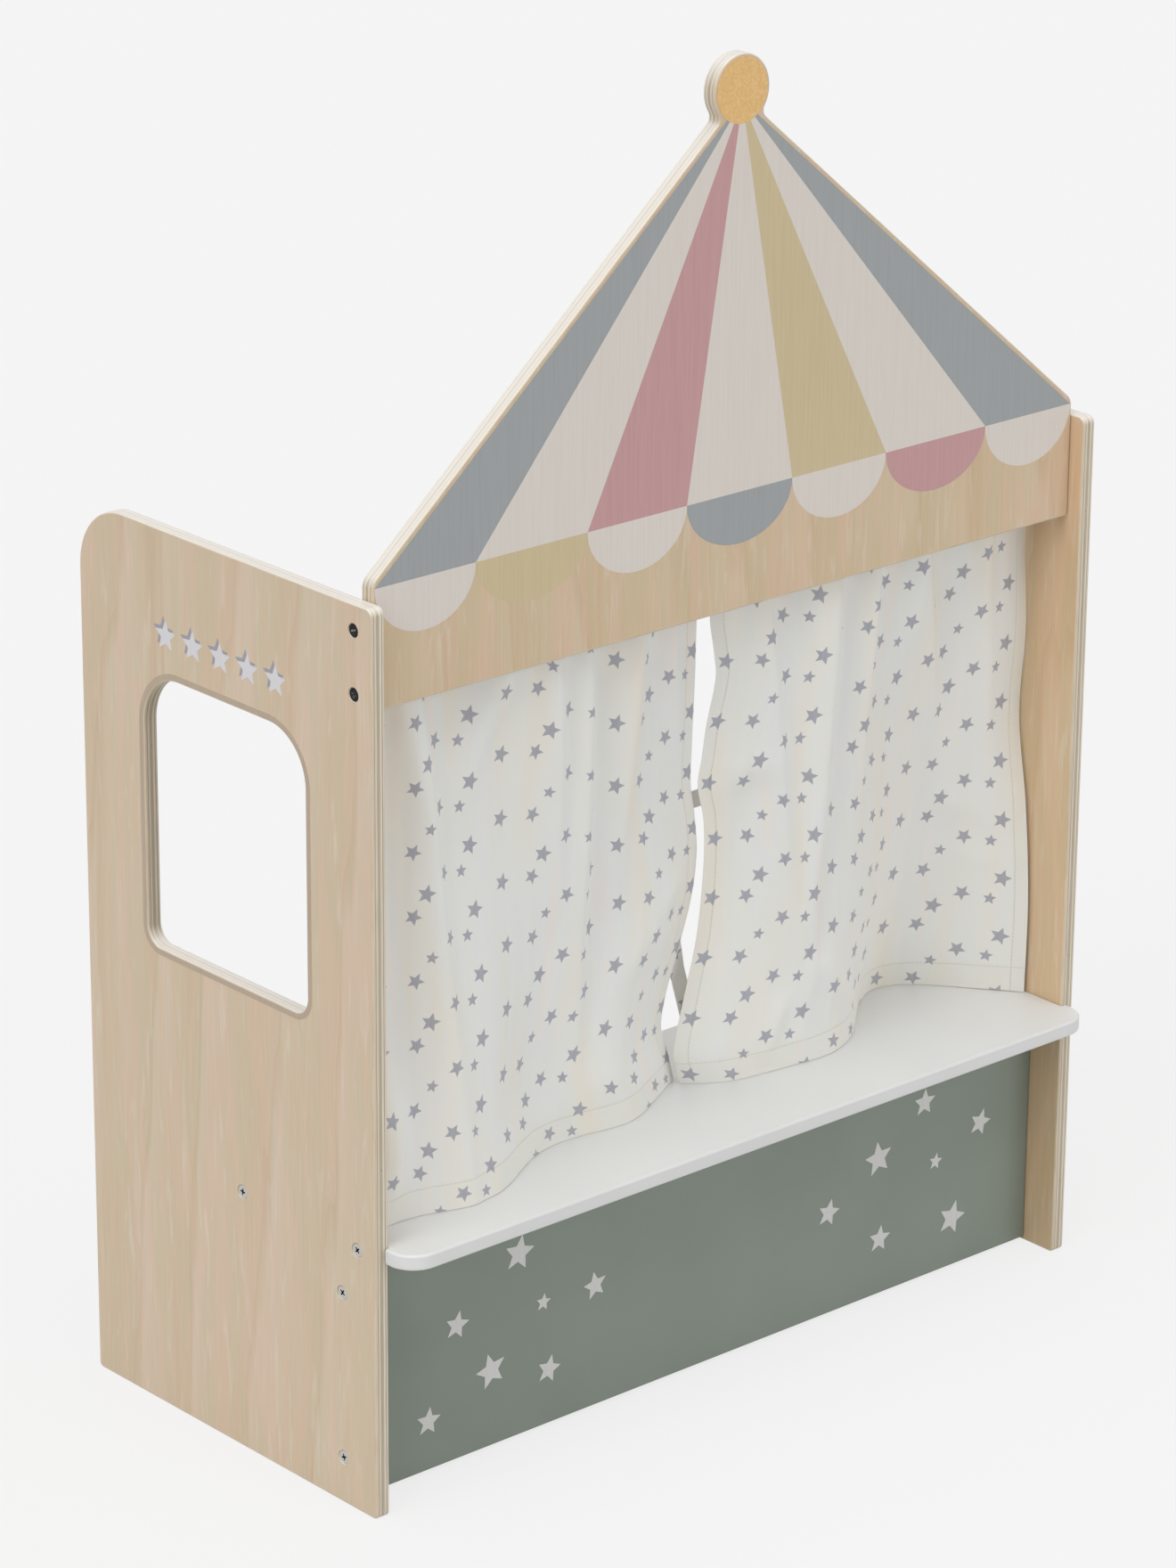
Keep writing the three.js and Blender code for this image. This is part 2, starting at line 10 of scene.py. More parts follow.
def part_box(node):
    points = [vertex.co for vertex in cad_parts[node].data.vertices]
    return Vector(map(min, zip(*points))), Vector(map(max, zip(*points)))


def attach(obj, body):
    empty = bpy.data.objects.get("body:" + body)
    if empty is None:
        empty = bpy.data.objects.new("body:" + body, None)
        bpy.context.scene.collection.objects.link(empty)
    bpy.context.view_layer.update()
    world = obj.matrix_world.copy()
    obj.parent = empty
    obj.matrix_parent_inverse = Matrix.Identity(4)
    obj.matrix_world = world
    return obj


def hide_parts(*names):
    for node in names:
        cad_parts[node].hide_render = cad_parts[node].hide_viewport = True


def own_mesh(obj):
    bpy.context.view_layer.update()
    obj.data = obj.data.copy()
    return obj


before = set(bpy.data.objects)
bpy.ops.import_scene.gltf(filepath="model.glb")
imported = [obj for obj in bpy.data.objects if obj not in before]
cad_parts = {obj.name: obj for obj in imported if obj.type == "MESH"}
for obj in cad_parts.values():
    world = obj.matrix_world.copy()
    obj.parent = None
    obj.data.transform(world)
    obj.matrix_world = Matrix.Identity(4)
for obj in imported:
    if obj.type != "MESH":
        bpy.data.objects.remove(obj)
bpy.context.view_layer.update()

mm = 0.001
X, Y, Z = 0, 1, 2
ends = {"left": -1, "right": 1}

# Camera and stage
camera_place = (-2.67414, -2.99117, 1.93623)
camera_turn_degrees = (69.46088564, -0.39057663, -41.42935837)
camera_lens = 132.444  # with the sensor along the long side of the picture
sensor_size = 36.0
floor_width = 60.0

# Boards
board_thickness = 12 * mm
edge_round = 1.5 * mm
shelf_edge_round = 2 * mm
touch_gap = 0.3 * mm
cut_overrun = 5 * mm
weld_distance = 0.01 * mm
side_top_back_radius = 50 * mm
side_top_front_radius = 6 * mm
side_foot_radius = 4 * mm
window_front_margin = 73 * mm
window_width = 182.5 * mm
window_sill = 366 * mm
window_height = 209 * mm
window_top_radius = 40 * mm
window_sill_radius = 14 * mm
shelf_corner_radius = 22 * mm
shelf_back_radius = 4 * mm

# Roof board
eave_height = 697.5 * mm
roof_rise = 286 * mm
finial_height = 986 * mm
finial_radius = 26.2 * mm
peak_lean = -4 * mm
neck_radius = 6 * mm
eave_radius = 10 * mm
roof_bottom_radius = 2 * mm

# Fasteners
hole_fit = 0.3 * mm
head_fit = 0.6 * mm
recess_width = 1.5 * mm
recess_depth = 2.2 * mm
recess_taper = 0.6
head_rim = 0.35 * mm
rim_round = 0.1 * mm
screw_tip = 3 * mm
roof_bolt = {"head": 4.8 * mm, "depth": 3.2 * mm, "shank": 3 * mm, "length": 46 * mm, "recess": 5.4 * mm}
wood_screw = {"head": 5 * mm, "depth": 3 * mm, "shank": 2.2 * mm, "length": 42 * mm, "recess": 5.8 * mm}
nut_radius = 5 * mm
nut_length = 9.5 * mm
nut_round = 0.4 * mm
nut_slot_width = 1.2 * mm
nut_slot_depth = 1.1 * mm

# Curtain rod
rod_radius = 6 * mm
rod_end_round = 1 * mm

# Prints on the boards: heights from the floor, widths from the stand's middle
print_thickness = 0.12 * mm
print_sunk = 0.05 * mm
window_band_width = 5.5 * mm
window_band_start = 1.4 * mm
stripe_apex = 979 * mm
stripe_line = 694 * mm
stripe_edges = [-336 * mm, -246.4 * mm, -144.4 * mm, -51 * mm, 51 * mm, 144.4 * mm, 246.4 * mm, 336 * mm]
stripe_inks = ["blue_grey", "white", "pink", "white", "mustard", "white", "blue_grey"]
scallop_inks = ["white", "mustard", "white", "blue_grey", "white", "pink", "white"]
scallop_depth = 38.5 * mm
disc_radius = 23.8 * mm
disc_raised = 0.1 * mm

# Stars on the base board: x, height, outer radius and turn in degrees
star_notch_share = 0.46
big, medium, small = 14.5 * mm, 11.5 * mm, 7.2 * mm
base_stars = [
    (-189.5 * mm, 149.9 * mm, big, 12), (-115.7 * mm, 101.3 * mm, medium, -8),
    (-166.1 * mm, 103.3 * mm, small, 10), (-248.7 * mm, 110.7 * mm, medium, 14),
    (-216.5 * mm, 64.0 * mm, big, -12), (-160.6 * mm, 47.4 * mm, medium, 16),
    (-275.8 * mm, 42.3 * mm, medium, 8), (222.4 * mm, 151.5 * mm, medium, 4),
    (284.0 * mm, 117.3 * mm, medium, 20), (174.0 * mm, 118.4 * mm, big, -6),
    (236.1 * mm, 97.9 * mm, small, 12), (255.8 * mm, 44.3 * mm, big, 18),
    (122.1 * mm, 88.3 * mm, medium, 16), (177.3 * mm, 49.8 * mm, medium, 8),
]

# A row of plain stars above the left window
row_star_radius = 12 * mm
row_star_pitch = 31 * mm
row_star_count = 5
row_height = 607 * mm
row_middle = 16 * mm
row_shadow = 2.4 * mm
row_raised = 0.05 * mm

# Curtains: each hangs from a pocket round the rod. Shares run from the outer end to the leading edge
cloth_thickness = 0.7 * mm
cad_cloth_thickness = 1.4 * mm
pocket_ease = 0.5 * mm
curtain_side_gap = 4 * mm
fold_start = 30 * mm
roof_room = 5 * mm
fold_growth = 1.25
fold_gain = 1.6  # brings a ridge's crest up to about its written depth
fold_reach = 6  # a ridge is left out beyond so many times its fall to either side
soft_wrinkle = 1.6 * mm
fine_wrinkle = 0.5 * mm
wrinkle_starts = {"left": 7.3, "right": 1.9}
pucker_depth = 0.7 * mm
pucker_fade_share = 0.045
gather_depth = 0.35 * mm
flap_gap = 0.8 * mm
flap_lean = 1.4 * mm
seam_lift = 2 * mm
seam_fade = 9 * mm
pocket_flap = 12 * mm
curtain_columns = 190
curtain_drop_rows = 150
curtain_pocket_rows = 22
curtain_flap_rows = 4
curtains = {
    "left": {
        "lead_top": -9 * mm, "lead_flare": 22 * mm,
        "offset": -36 * mm, "lead_run_back": 64 * mm, "wide_fold": 4 * mm, "wide_phase_share": 0.32,
        "narrow_fold": 11.5 * mm, "narrow_phase_share": 0.153,
        "keep": 0.283, "travel": 236 * mm,
    },
    "right": {
        "lead_top": 4 * mm, "lead_flare": 11 * mm,
        "offset": 9.5 * mm, "lead_run_back": 33 * mm, "wide_fold": 42 * mm, "wide_phase_share": 0,
        "narrow_fold": 10.5 * mm, "narrow_phase_share": -0.245,
        "keep": 0.217, "travel": 242 * mm,
    },
}
# Each fold's ridge, in millimetres: x and height where it starts and where it has died out, its depth,
# and how fast it falls away to its left and to its right as it goes down
folds = {
    "left": [
        (-305, 650, -265, 470, 9, 18, 5), (-281, 650, -237, 150, 15, 26, 5),
        (-183, 650, -244, 480, 14, 18, 6), (-186, 650, -179, 460, 9, 16, 4),
        (-158, 650, -141, 380, 17, 24, 4), (-124, 650, -113, 230, 20, 26, 4),
        (-64, 650, -82, 380, 18, 24, 6), (-42, 650, -12, 470, 8, 14, 4),
        (0, 398, -92, 306, 7, 14, 7), (-9, 365, -56, 312, 5, 9, 6), (-58, 258, -155, 230, 4, 15, 9),
    ],
    "right": [
        (12, 650, 28, 500, 6, 14, 4), (44, 650, 103, 260, 15, 24, 5), (93, 650, 108, 500, 9, 16, 4),
        (119, 650, 112, 210, 20, 26, 5), (160, 650, 165, 370, 17, 24, 4), (199, 650, 219, 500, 9, 16, 4),
        (202, 650, 284, 360, 17, 26, 5), (284, 650, 316, 340, 9, 18, 5),
        (46, 470, 40, 270, -8, 9, 9), (87, 282, 72, 218, 6, 9, 5), (110, 310, 200, 200, 7, 14, 6),
        (262, 382, 330, 350, 3.5, 9, 6), (284, 334, 330, 314, 3.5, 8, 5), (10, 468, 76, 464, 3, 12, 9),
    ],
}
# Each leading edge, from the hem up: (height, x) in millimetres
lead_lines = {
    "left": [(211, 12), (239, 2), (262, -7), (291, -5), (325, 3), (365, 11), (401, 12), (430, 7),
             (458, 0), (490, -2), (545, -4), (600, -7), (650, -9)],
    "right": [(211, 11), (228, 4), (240, 1), (261, 3), (295, 8.5), (330, 14), (365, 15.5), (402, 14.5),
              (430, 11), (458, 3), (480, 5), (505, 7), (541, 11), (562, 7.5), (590, 1.5), (650, -2.5)],
}
# How far each outer edge swings back, from the hem up: (height, y) in millimetres
outer_swings = {
    "left": [(211, 0), (650, 0)],
    "right": [(211, -9), (295, -10), (367, -5), (438, 5), (511, 1), (581, 5), (650, 0)],
}
outer_swing_share = 0.07
# The left curtain's outer edge curls forward, clear of the side panel, low down
curl_depth = 16 * mm
curl_height = 275 * mm
curl_half_height = 42 * mm
curl_place_share = 0.05
curl_width_share = 0.05

side_hem = 10 * mm
bottom_hem = 20 * mm
stitch_length = 1.6 * mm
stitch_gap_share = 0.25
thread_core = 0.25 * mm
thread_edge = 0.6 * mm
hem_edge = 0.4 * mm
ink_bleed = 0.2 * mm

# The cloth's print: each star's place in the repeat, its outer radius, its turn in degrees and the
# height after which it comes again
cloth_repeat = 120 * mm
cloth_rise = 48.5 * mm
cloth_stars = [
    (0, 0, 7.6 * mm, 18, cloth_rise), (-9 * mm, -17 * mm, 5.3 * mm, 8, cloth_rise),
    (30 * mm, 12 * mm, 7.3 * mm, 20, cloth_rise), (59 * mm, 9 * mm, 6.6 * mm, 30, cloth_rise),
    (90 * mm, 36 * mm, 6.8 * mm, 34, cloth_rise), (71.5 * mm, 25 * mm, 5.0 * mm, 12, 2 * cloth_rise),
    (69.5 * mm, 73.5 * mm, 7.4 * mm, 16, 2 * cloth_rise),
]
# Where the print's repeat starts on each curtain, from its outer bottom corner
cloth_starts = {"left": (12 * mm, 25 * mm), "right": (-100.5 * mm, 2.6 * mm)}

# Ties: narrow ribbons sewn behind each curtain
tie_width = 14 * mm
tie_thickness = 0.8 * mm
tie_columns = 4
tie_steps = 60
tie_seat = 1 * mm
lead_room = 15 * mm  # how far from the other curtain's leading edge a tie still keeps clear of it
ties = {
    "left": {"sewn_share": 0.684, "drop_share": 0.213, "inset": 11 * mm, "sway": 34 * mm, "bow": 0,
             "stand_off": 6 * mm},
    "right": {"sewn_share": 0.451, "drop_share": 0.25, "inset": 16 * mm, "sway": -70 * mm, "bow": 1,
              "stand_off": 22 * mm},
}

# Faces that several pieces share, from the frame
side_low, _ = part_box("left_side_panel")
side_front = side_low.y
half_stand = -side_low.x
half_inner = half_stand - board_thickness
roof_low, roof_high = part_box("roof_panel")
roof_front, roof_back, roof_half, roof_bottom = roof_low.y, roof_high.y, roof_high.x, roof_low.z
base_low, base_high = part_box("base_panel")
shelf_low, shelf_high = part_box("stage_shelf")
rod_low, rod_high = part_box("curtain_rod")
rod_y, rod_z = (rod_low.y + rod_high.y) / 2, (rod_low.z + rod_high.z) / 2
rod_middle, rod_length = (0, rod_y, rod_z), rod_high.x - rod_low.x


# Small tools

def linear(hex_colour):
    """An sRGB hex colour as the linear values that Blender works in."""
    channels = [int(hex_colour[i:i + 2], 16) / 255 for i in (1, 3, 5)]
    return tuple(c / 12.92 if c <= 0.04045 else ((c + 0.055) / 1.055) ** 2.4 for c in channels) + (1.0,)


def add_node(tree, kind, inputs=None, stops=None, **settings):
    """Adds a node with its settings, its inputs as values, sockets or nodes that lend their first
    output, and a colour ramp's stops."""
    node = tree.nodes.new(kind)
    for name, value in settings.items():
        setattr(node, name, value)
    if stops:
        elements = node.color_ramp.elements
        while len(elements) < len(stops):
            elements.new(1.0)
        for element, (place, colour) in zip(elements, stops):
            element.position = place
            element.color = linear(colour)
    for name, value in (inputs or {}).items():
        if isinstance(value, bpy.types.Node):
            value = next(socket for socket in value.outputs if socket.enabled)
        if isinstance(value, bpy.types.NodeSocket):
            tree.links.new(value, node.inputs[name])
        else:
            node.inputs[name].default_value = value
    return node


def pick(*pieces):
    """Selects these pieces alone and makes the first the active one."""
    bpy.ops.object.select_all(action="DESELECT")
    for piece in pieces:
        piece.select_set(True)
    bpy.context.view_layer.objects.active = pieces[0]


def settle(piece, name):
    """Names a piece and moves its place into its mesh."""
    piece.name = piece.data.name = name
    pick(piece)
    bpy.ops.object.transform_apply(location=True, rotation=True, scale=True)
    return piece


def add_box(name, low, high):
    low, high = Vector(low), Vector(high)
    bpy.ops.mesh.primitive_cube_add(size=1, location=(low + high) / 2)
    piece = bpy.context.object
    piece.scale = high - low
    return settle(piece, name)


def add_cylinder(name, axis, radius, length, centre, sides=48):
    """A round bar along the X or the Y axis."""
    turn = (0, math.radians(90), 0) if axis == X else (math.radians(90), 0, 0)
    bpy.ops.mesh.primitive_cylinder_add(
        vertices=sides, radius=radius, depth=length, location=centre, rotation=turn)
    return settle(bpy.context.object, name)


def select_part(piece, kind, test):
    """In edit mode, selects only the edges or faces whose place passes a test."""
    bpy.ops.object.mode_set(mode="OBJECT")
    mesh = piece.data
    for group in (mesh.vertices, mesh.edges, mesh.polygons):
        group.foreach_set("select", [False] * len(group))
    if kind == "EDGE":
        for edge in mesh.edges:
            edge.select = test(*(mesh.vertices[i].co for i in edge.vertices))
    else:
        for face in mesh.polygons:
            face.select = test(face.center, face.normal)
    bpy.ops.object.mode_set(mode="EDIT")
    bpy.ops.mesh.select_mode(type=kind)


def select_all():
    bpy.ops.mesh.select_all(action="SELECT")


def face_outwards():
    """Turns every face outwards and leaves edit mode."""
    select_all()
    bpy.ops.mesh.normals_make_consistent(inside=False)
    bpy.ops.object.mode_set(mode="OBJECT")


def near(a, b):
    return abs(a - b) < 0.2 * mm


def round_corner(piece, axis, first, second, radius, segments):
    """Rounds the edge along an axis whose other two places are first and second."""
    others = [i for i in (X, Y, Z) if i != axis]
    pick(piece)
    select_part(piece, "EDGE", lambda a, b: all(
        near(a[i], b[i]) and near(a[i], place) for i, place in zip(others, (first, second))))
    bpy.ops.mesh.bevel(offset=radius, segments=segments, profile=0.5, affect="EDGES", clamp_overlap=True)
    bpy.ops.object.mode_set(mode="OBJECT")


def modify(piece, kind, **settings):
    """Adds a modifier and applies it."""
    pick(piece)
    modifier = piece.modifiers.new(kind.title(), kind)
    for name, value in settings.items():
        setattr(modifier, name, value)
    bpy.ops.object.modifier_apply(modifier=modifier.name)


def combine(piece, other, operation="DIFFERENCE"):
    """Cuts or joins one solid with another, and drops the other."""
    modify(piece, "BOOLEAN", operation=operation, solver="EXACT", object=other)
    bpy.data.objects.remove(other)


def ease_edges(piece, radius, segments=4):
    """Rounds over every sharp edge, as a sanded or routed edge is."""
    modify(piece, "BEVEL", width=radius, segments=segments, limit_method="ANGLE",
           angle_limit=math.radians(40), use_clamp_overlap=True)


def smooth(piece, degrees=35):
    """Smooth shading that keeps the flat faces flat."""
    pick(piece)
    bpy.ops.object.shade_smooth_by_angle(angle=math.radians(degrees))
    modify(piece, "WEIGHTED_NORMAL", mode="FACE_AREA", weight=100, keep_sharp=True)


def copy_of(piece, name):
    """A copy of a piece with its own mesh."""
    twin = piece.copy()
    twin.data = piece.data.copy()
    twin.name = twin.data.name = name
    bpy.context.scene.collection.objects.link(twin)
    return twin


def join(pieces, name):
    pick(*pieces)
    if len(pieces) > 1:
        bpy.ops.object.join()
    return settle(pieces[0], name)


def draw_line(name, start, steps):
    """Draws a line of edges in the plane y = start.y: each step is a point (x, z) to run to, or a turn
    (centre x, centre z, angle, count). A positive turn goes from -X over +Z to +X."""
    bpy.ops.mesh.primitive_plane_add(size=mm, location=start)
    piece = settle(bpy.context.object, name)
    bpy.ops.object.mode_set(mode="EDIT")
    bpy.ops.mesh.select_mode(type="VERT")
    select_all()
    bpy.ops.mesh.merge(type="CENTER")
    x, y, z = start
    for step in steps:
        if len(step) == 2:
            move = (step[0] - x, 0, step[1] - z)
            bpy.ops.mesh.extrude_region_move(TRANSFORM_OT_translate={"value": move})
            x, z = step
        else:
            centre_x, centre_z, angle, count = step
            bpy.ops.mesh.spin(steps=count, angle=-angle, center=(centre_x, y, centre_z), axis=(0, 1, 0))
            turned = Matrix.Rotation(angle, 3, "Y") @ Vector((x - centre_x, 0, z - centre_z))
            x, z = centre_x + turned.x, centre_z + turned.z
    select_all()
    bpy.ops.mesh.remove_doubles(threshold=weld_distance)
    return piece


def fill_and_thicken(piece, depth):
    """Fills a closed line and pulls it out by a depth along +Y or, if negative, -Y."""
    select_all()
    bpy.ops.mesh.edge_face_add()
    select_all()
    bpy.ops.mesh.extrude_region_move(TRANSFORM_OT_translate={"value": (0, depth, 0)})
    face_outwards()


def dress(piece, body, materials, stands_for=()):
    """Gives a piece its materials, its body and the nodes that it stands for."""
    for material in materials:
        piece.data.materials.append(material)
    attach(piece, body)
    if stands_for:
        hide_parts(*stands_for)
    return piece


# Materials

colour_mix = {"data_type": "RGBA"}
colour_tint = {"data_type": "RGBA", "blend_type": "MULTIPLY"}


def new_material(name):
    """An empty material, ready for its nodes."""
    material = bpy.data.materials.new(name)
    material.use_nodes = True
    tree = material.node_tree
    tree.nodes.clear()
    return material, tree


def end_material(material, inputs, relief=None, strength=0.1, depth=0.1 * mm):
    """Ends a material in its surface shader, over the fine relief of a pattern if one is given."""
    tree = material.node_tree
    if relief is not None:
        inputs["Normal"] = add_node(tree, "ShaderNodeBump", {
            "Height": relief, "Strength": strength, "Distance": depth})
    shader = add_node(tree, "ShaderNodeBsdfPrincipled", inputs)
    add_node(tree, "ShaderNodeOutputMaterial", {"Surface": shader})
    return material


def pattern_run(tree, sizes, shift=(0, 0, 0), place=None):
    """Object coordinates, or a place on the cloth, in units of a pattern's size along each axis."""
    if place is None:
        place = add_node(tree, "ShaderNodeTexCoord").outputs["Object"]
    return add_node(tree, "ShaderNodeMapping", {
        "Vector": place, "Scale": [1 / size for size in sizes], "Location": shift})


def cloud_pattern(tree, sizes, shift=(0, 0, 0), place=None, detail=2.0, roughness=0.5, distortion=0.0):
    """A cloudy pattern with clouds of these sizes along the axes."""
    return add_node(tree, "ShaderNodeTexNoise", {
        "Vector": pattern_run(tree, sizes, shift, place),
        "Scale": 1.0, "Detail": detail, "Roughness": roughness, "Distortion": distortion})


def cloudy(tree, sizes, stops, **texture):
    """A cloudy pattern, and its colours by a ramp's stops."""
    pattern = cloud_pattern(tree, sizes, **texture)
    return pattern, add_node(tree, "ShaderNodeValToRGB", {"Fac": pattern}, stops)


def lacquered_veneer(name, bands):
    # Rotary-cut poplar veneer under matt clear lacquer: upright grain in soft pinkish, olive and grey
    # tan bands, a faint cathedral figure, short pale flecks and fine fibres under a broad dull highlight
    material, tree = new_material(name)
    _, tone = cloudy(tree, (34 * mm, 34 * mm, 330 * mm),
                     list(zip((0.25, 0.4, 0.48, 0.56, 0.75), bands)), detail=3.0, distortion=0.7)
    figure = add_node(tree, "ShaderNodeTexWave", {
        "Vector": pattern_run(tree, (120 * mm, 120 * mm, 1100 * mm), (0.3, 0.1, 0)),
        "Scale": 1.0, "Distortion": 7.0, "Detail": 3.0, "Detail Scale": 1.2, "Detail Roughness": 0.6,
    }, wave_type="BANDS", bands_direction="DIAGONAL", wave_profile="SAW")
    figure_tone = add_node(tree, "ShaderNodeValToRGB", {"Fac": figure.outputs["Fac"]}, [
        (0.0, "#F7F1E8"), (0.5, "#FBF8F2"), (0.88, "#FFFFFF"), (1.0, "#F0E4D4")])
    figured = add_node(tree, "ShaderNodeMix", {0: 0.6, 6: tone, 7: figure_tone}, **colour_tint)
    fleck = cloud_pattern(tree, (6 * mm, 6 * mm, 62 * mm), detail=3.0, distortion=1.2)
    fleck_share = add_node(tree, "ShaderNodeMapRange", {
        "Value": fleck, "From Min": 0.56, "From Max": 0.74, "To Max": 0.45})
    flecked = add_node(tree, "ShaderNodeMix", {
        0: fleck_share, 6: figured, 7: linear("#E4DACA")}, **colour_mix)
    fibre, fibre_tone = cloudy(tree, (1.1 * mm, 1.1 * mm, 60 * mm), [
        (0.3, "#E9DFD0"), (0.55, "#FFFFFF")], roughness=0.6)
    colour = add_node(tree, "ShaderNodeMix", {0: 0.2, 6: flecked, 7: fibre_tone}, **colour_tint)
    return end_material(material, {"Base Color": colour, "Roughness": 0.5}, fibre, 0.12, 0.1 * mm)


def plywood_edge(name, axis, start):
    # Sawn, sanded and lacquered plywood edge: pale plies, thin darker glue lines and a greyer core, fine
    # fibre streaks along the edge, now and then a small dark void in the core, and a thicker coat of lacquer
    # where the edge faces up, with painted light that makes the colour paler there
    material, tree = new_material(name)
    place = add_node(tree, "ShaderNodeTexCoord").outputs["Object"]
    through = add_node(tree, "ShaderNodeSeparateXYZ", {"Vector": place}).outputs[axis]
    share = add_node(tree, "ShaderNodeMapRange", {
        "Value": through, "From Min": start, "From Max": start + board_thickness})
    plies = add_node(tree, "ShaderNodeValToRGB", {"Fac": share}, [
        (0.0, "#D9C9B1"), (0.17, "#DDD0BB"), (0.2, "#BBA98F"), (0.235, "#BBA98F"), (0.265, "#E6DCCB"),
        (0.37, "#E4DAC9"), (0.4, "#BFB19B"), (0.59, "#C3B6A1"), (0.62, "#E9E0D0"), (0.74, "#E6DCCB"),
        (0.765, "#B6A48A"), (0.8, "#B6A48A"), (0.83, "#E6DDCE"), (1.0, "#DDD0BB")])
    sizes = [28 * mm] * 3
    sizes[axis] = 0.6 * mm
    streak, streak_tone = cloudy(tree, sizes, [(0.3, "#D8CDBC"), (0.6, "#FFFFFF")],
                                 detail=3.0, roughness=0.6)
    streaked = add_node(tree, "ShaderNodeMix", {0: 0.5, 6: plies, 7: streak_tone}, **colour_tint)
    sizes = [5 * mm] * 3
    sizes[axis] = 1.1 * mm
    hollow = cloud_pattern(tree, sizes, (3.1, 5.7, 1.3), detail=1.0)
    in_core = add_node(tree, "ShaderNodeMath", {0: share, 1: 0.5, 2: 0.12}, operation="COMPARE")
    void = add_node(tree, "ShaderNodeMapRange", {
        "Value": hollow, "From Min": 0.77, "From Max": 0.79, "To Max": in_core})
    marked = add_node(tree, "ShaderNodeMix", {0: void, 6: streaked, 7: linear("#4A3A2A")}, **colour_mix)
    # Where the edge faces up it gets a thicker clear coat, and its colour is mixed towards pale as painted
    # light from above
    normal = add_node(tree, "ShaderNodeNewGeometry").outputs["Normal"]
    facing = add_node(tree, "ShaderNodeSeparateXYZ", {"Vector": normal})
    upward_coat_and_painted_light = add_node(tree, "ShaderNodeMapRange", {
        "Value": facing.outputs["Z"], "From Min": 0.2, "From Max": 0.8, "To Max": 0.6})
    colour = add_node(tree, "ShaderNodeMix", {0: upward_coat_and_painted_light, 6: marked, 7: linear("#F6F3EE")}, **colour_mix)
    return end_material(material, {
        "Base Color": colour, "Roughness": 0.5, "Coat Weight": upward_coat_and_painted_light, "Coat Roughness": 0.25,
    }, streak, 0.25, 0.15 * mm)


def sprayed_paint(name, light, dark, roughness, peel):
    # Sprayed paint on board: an even colour with a slight cloudiness and fine orange peel
    material, tree = new_material(name)
    _, tone = cloudy(tree, (90 * mm,) * 3, [(0.3, dark), (0.7, light)], detail=3.0)
    dimple = cloud_pattern(tree, (peel,) * 3)
    return end_material(material, {"Base Color": tone, "Roughness": roughness}, dimple, 0.12, 0.08 * mm)


def screen_ink(name, light, dark):
    # Matt screen-printing ink on wood: opaque, with the veneer's fibres just showing through
    material, tree = new_material(name)
    fibre, tone = cloudy(tree, (1.6 * mm, 1.6 * mm, 60 * mm), [(0.3, dark), (0.6, light)], roughness=0.6)
    return end_material(material, {"Base Color": tone, "Roughness": 0.6}, fibre, 0.1, 0.08 * mm)


def mottled_ink():
    # A thick warm yellow ink that dries with a mottled grain
    material, tree = new_material("mottled_yellow_ink")
    grain, tone = cloudy(tree, (2.2 * mm,) * 3, [
        (0.3, "#E3B672"), (0.52, "#EBC07E"), (0.72, "#F1CD95")], detail=3.0, roughness=0.65)
    return end_material(material, {"Base Color": tone, "Roughness": 0.5}, grain, 0.3, 0.2 * mm)


def plated_steel(name, colour, roughness):
    # Tumbled screw steel, bright zinc or black oxide: a fine pitted texture under a soft gleam
    material, tree = new_material(name)
    grit = cloud_pattern(tree, (0.5 * mm,) * 3)
    return end_material(material, {"Base Color": linear(colour), "Metallic": 1.0, "Roughness": roughness},
                        grit, 0.15, 0.05 * mm)


def turned_beech():
    # Bare beech dowel: straight grain along the rod with short dark flecks
    material, tree = new_material("turned_beech")
    _, tone = cloudy(tree, (60 * mm, 1.2 * mm, 1.2 * mm), [
        (0.25, "#B98F62"), (0.45, "#D2AE82"), (0.75, "#E0C39A")], detail=3.0, roughness=0.6)
    return end_material(material, {"Base Color": tone, "Roughness": 0.6})


def star_mask(tree, run):
    """1 inside the printed stars, from the repeat of the print."""
    half_point = math.radians(36)
    notch = Vector((star_notch_share * math.cos(half_point), star_notch_share * math.sin(half_point)))
    side = Vector((notch.y, 1 - notch.x)).normalized()
    nearest = None
    for x, y, radius, turn, rise in cloth_stars:
        offset = add_node(tree, "ShaderNodeVectorMath", {0: run, 1: (x, y, 0)}, operation="SUBTRACT")
        half_repeat = (cloth_repeat / 2, rise / 2, 1)
        cell = add_node(tree, "ShaderNodeVectorMath", {
            0: offset, 1: half_repeat, 2: [-size for size in half_repeat]}, operation="WRAP")
        turned = add_node(tree, "ShaderNodeVectorRotate", {
            "Vector": cell, "Angle": math.radians(turn - 90)}, rotation_type="Z_AXIS")
        reach = add_node(tree, "ShaderNodeVectorMath", {0: turned}, operation="LENGTH")
        parts = add_node(tree, "ShaderNodeSeparateXYZ", {"Vector": turned}).outputs
        angle = add_node(tree, "ShaderNodeMath", {0: parts["Y"], 1: parts["X"]}, operation="ARCTAN2")
        fold = add_node(tree, "ShaderNodeMath", {0: angle, 1: half_point}, operation="PINGPONG")
        tilt = add_node(tree, "ShaderNodeMath", {
            0: fold, 1: math.atan2(side.y, side.x)}, operation="SUBTRACT")
        facing = add_node(tree, "ShaderNodeMath", {0: tilt}, operation="COSINE")
        beyond = add_node(tree, "ShaderNodeMath", {
            0: facing, 1: reach, 2: -radius * side.x}, operation="MULTIPLY_ADD")
        nearest = beyond if nearest is None else add_node(tree, "ShaderNodeMath", {
            0: nearest, 1: beyond}, operation="MINIMUM")
    return add_node(tree, "ShaderNodeMapRange", {
        "Value": nearest, "From Min": -ink_bleed, "From Max": ink_bleed, "To Min": 1.0, "To Max": 0.0})


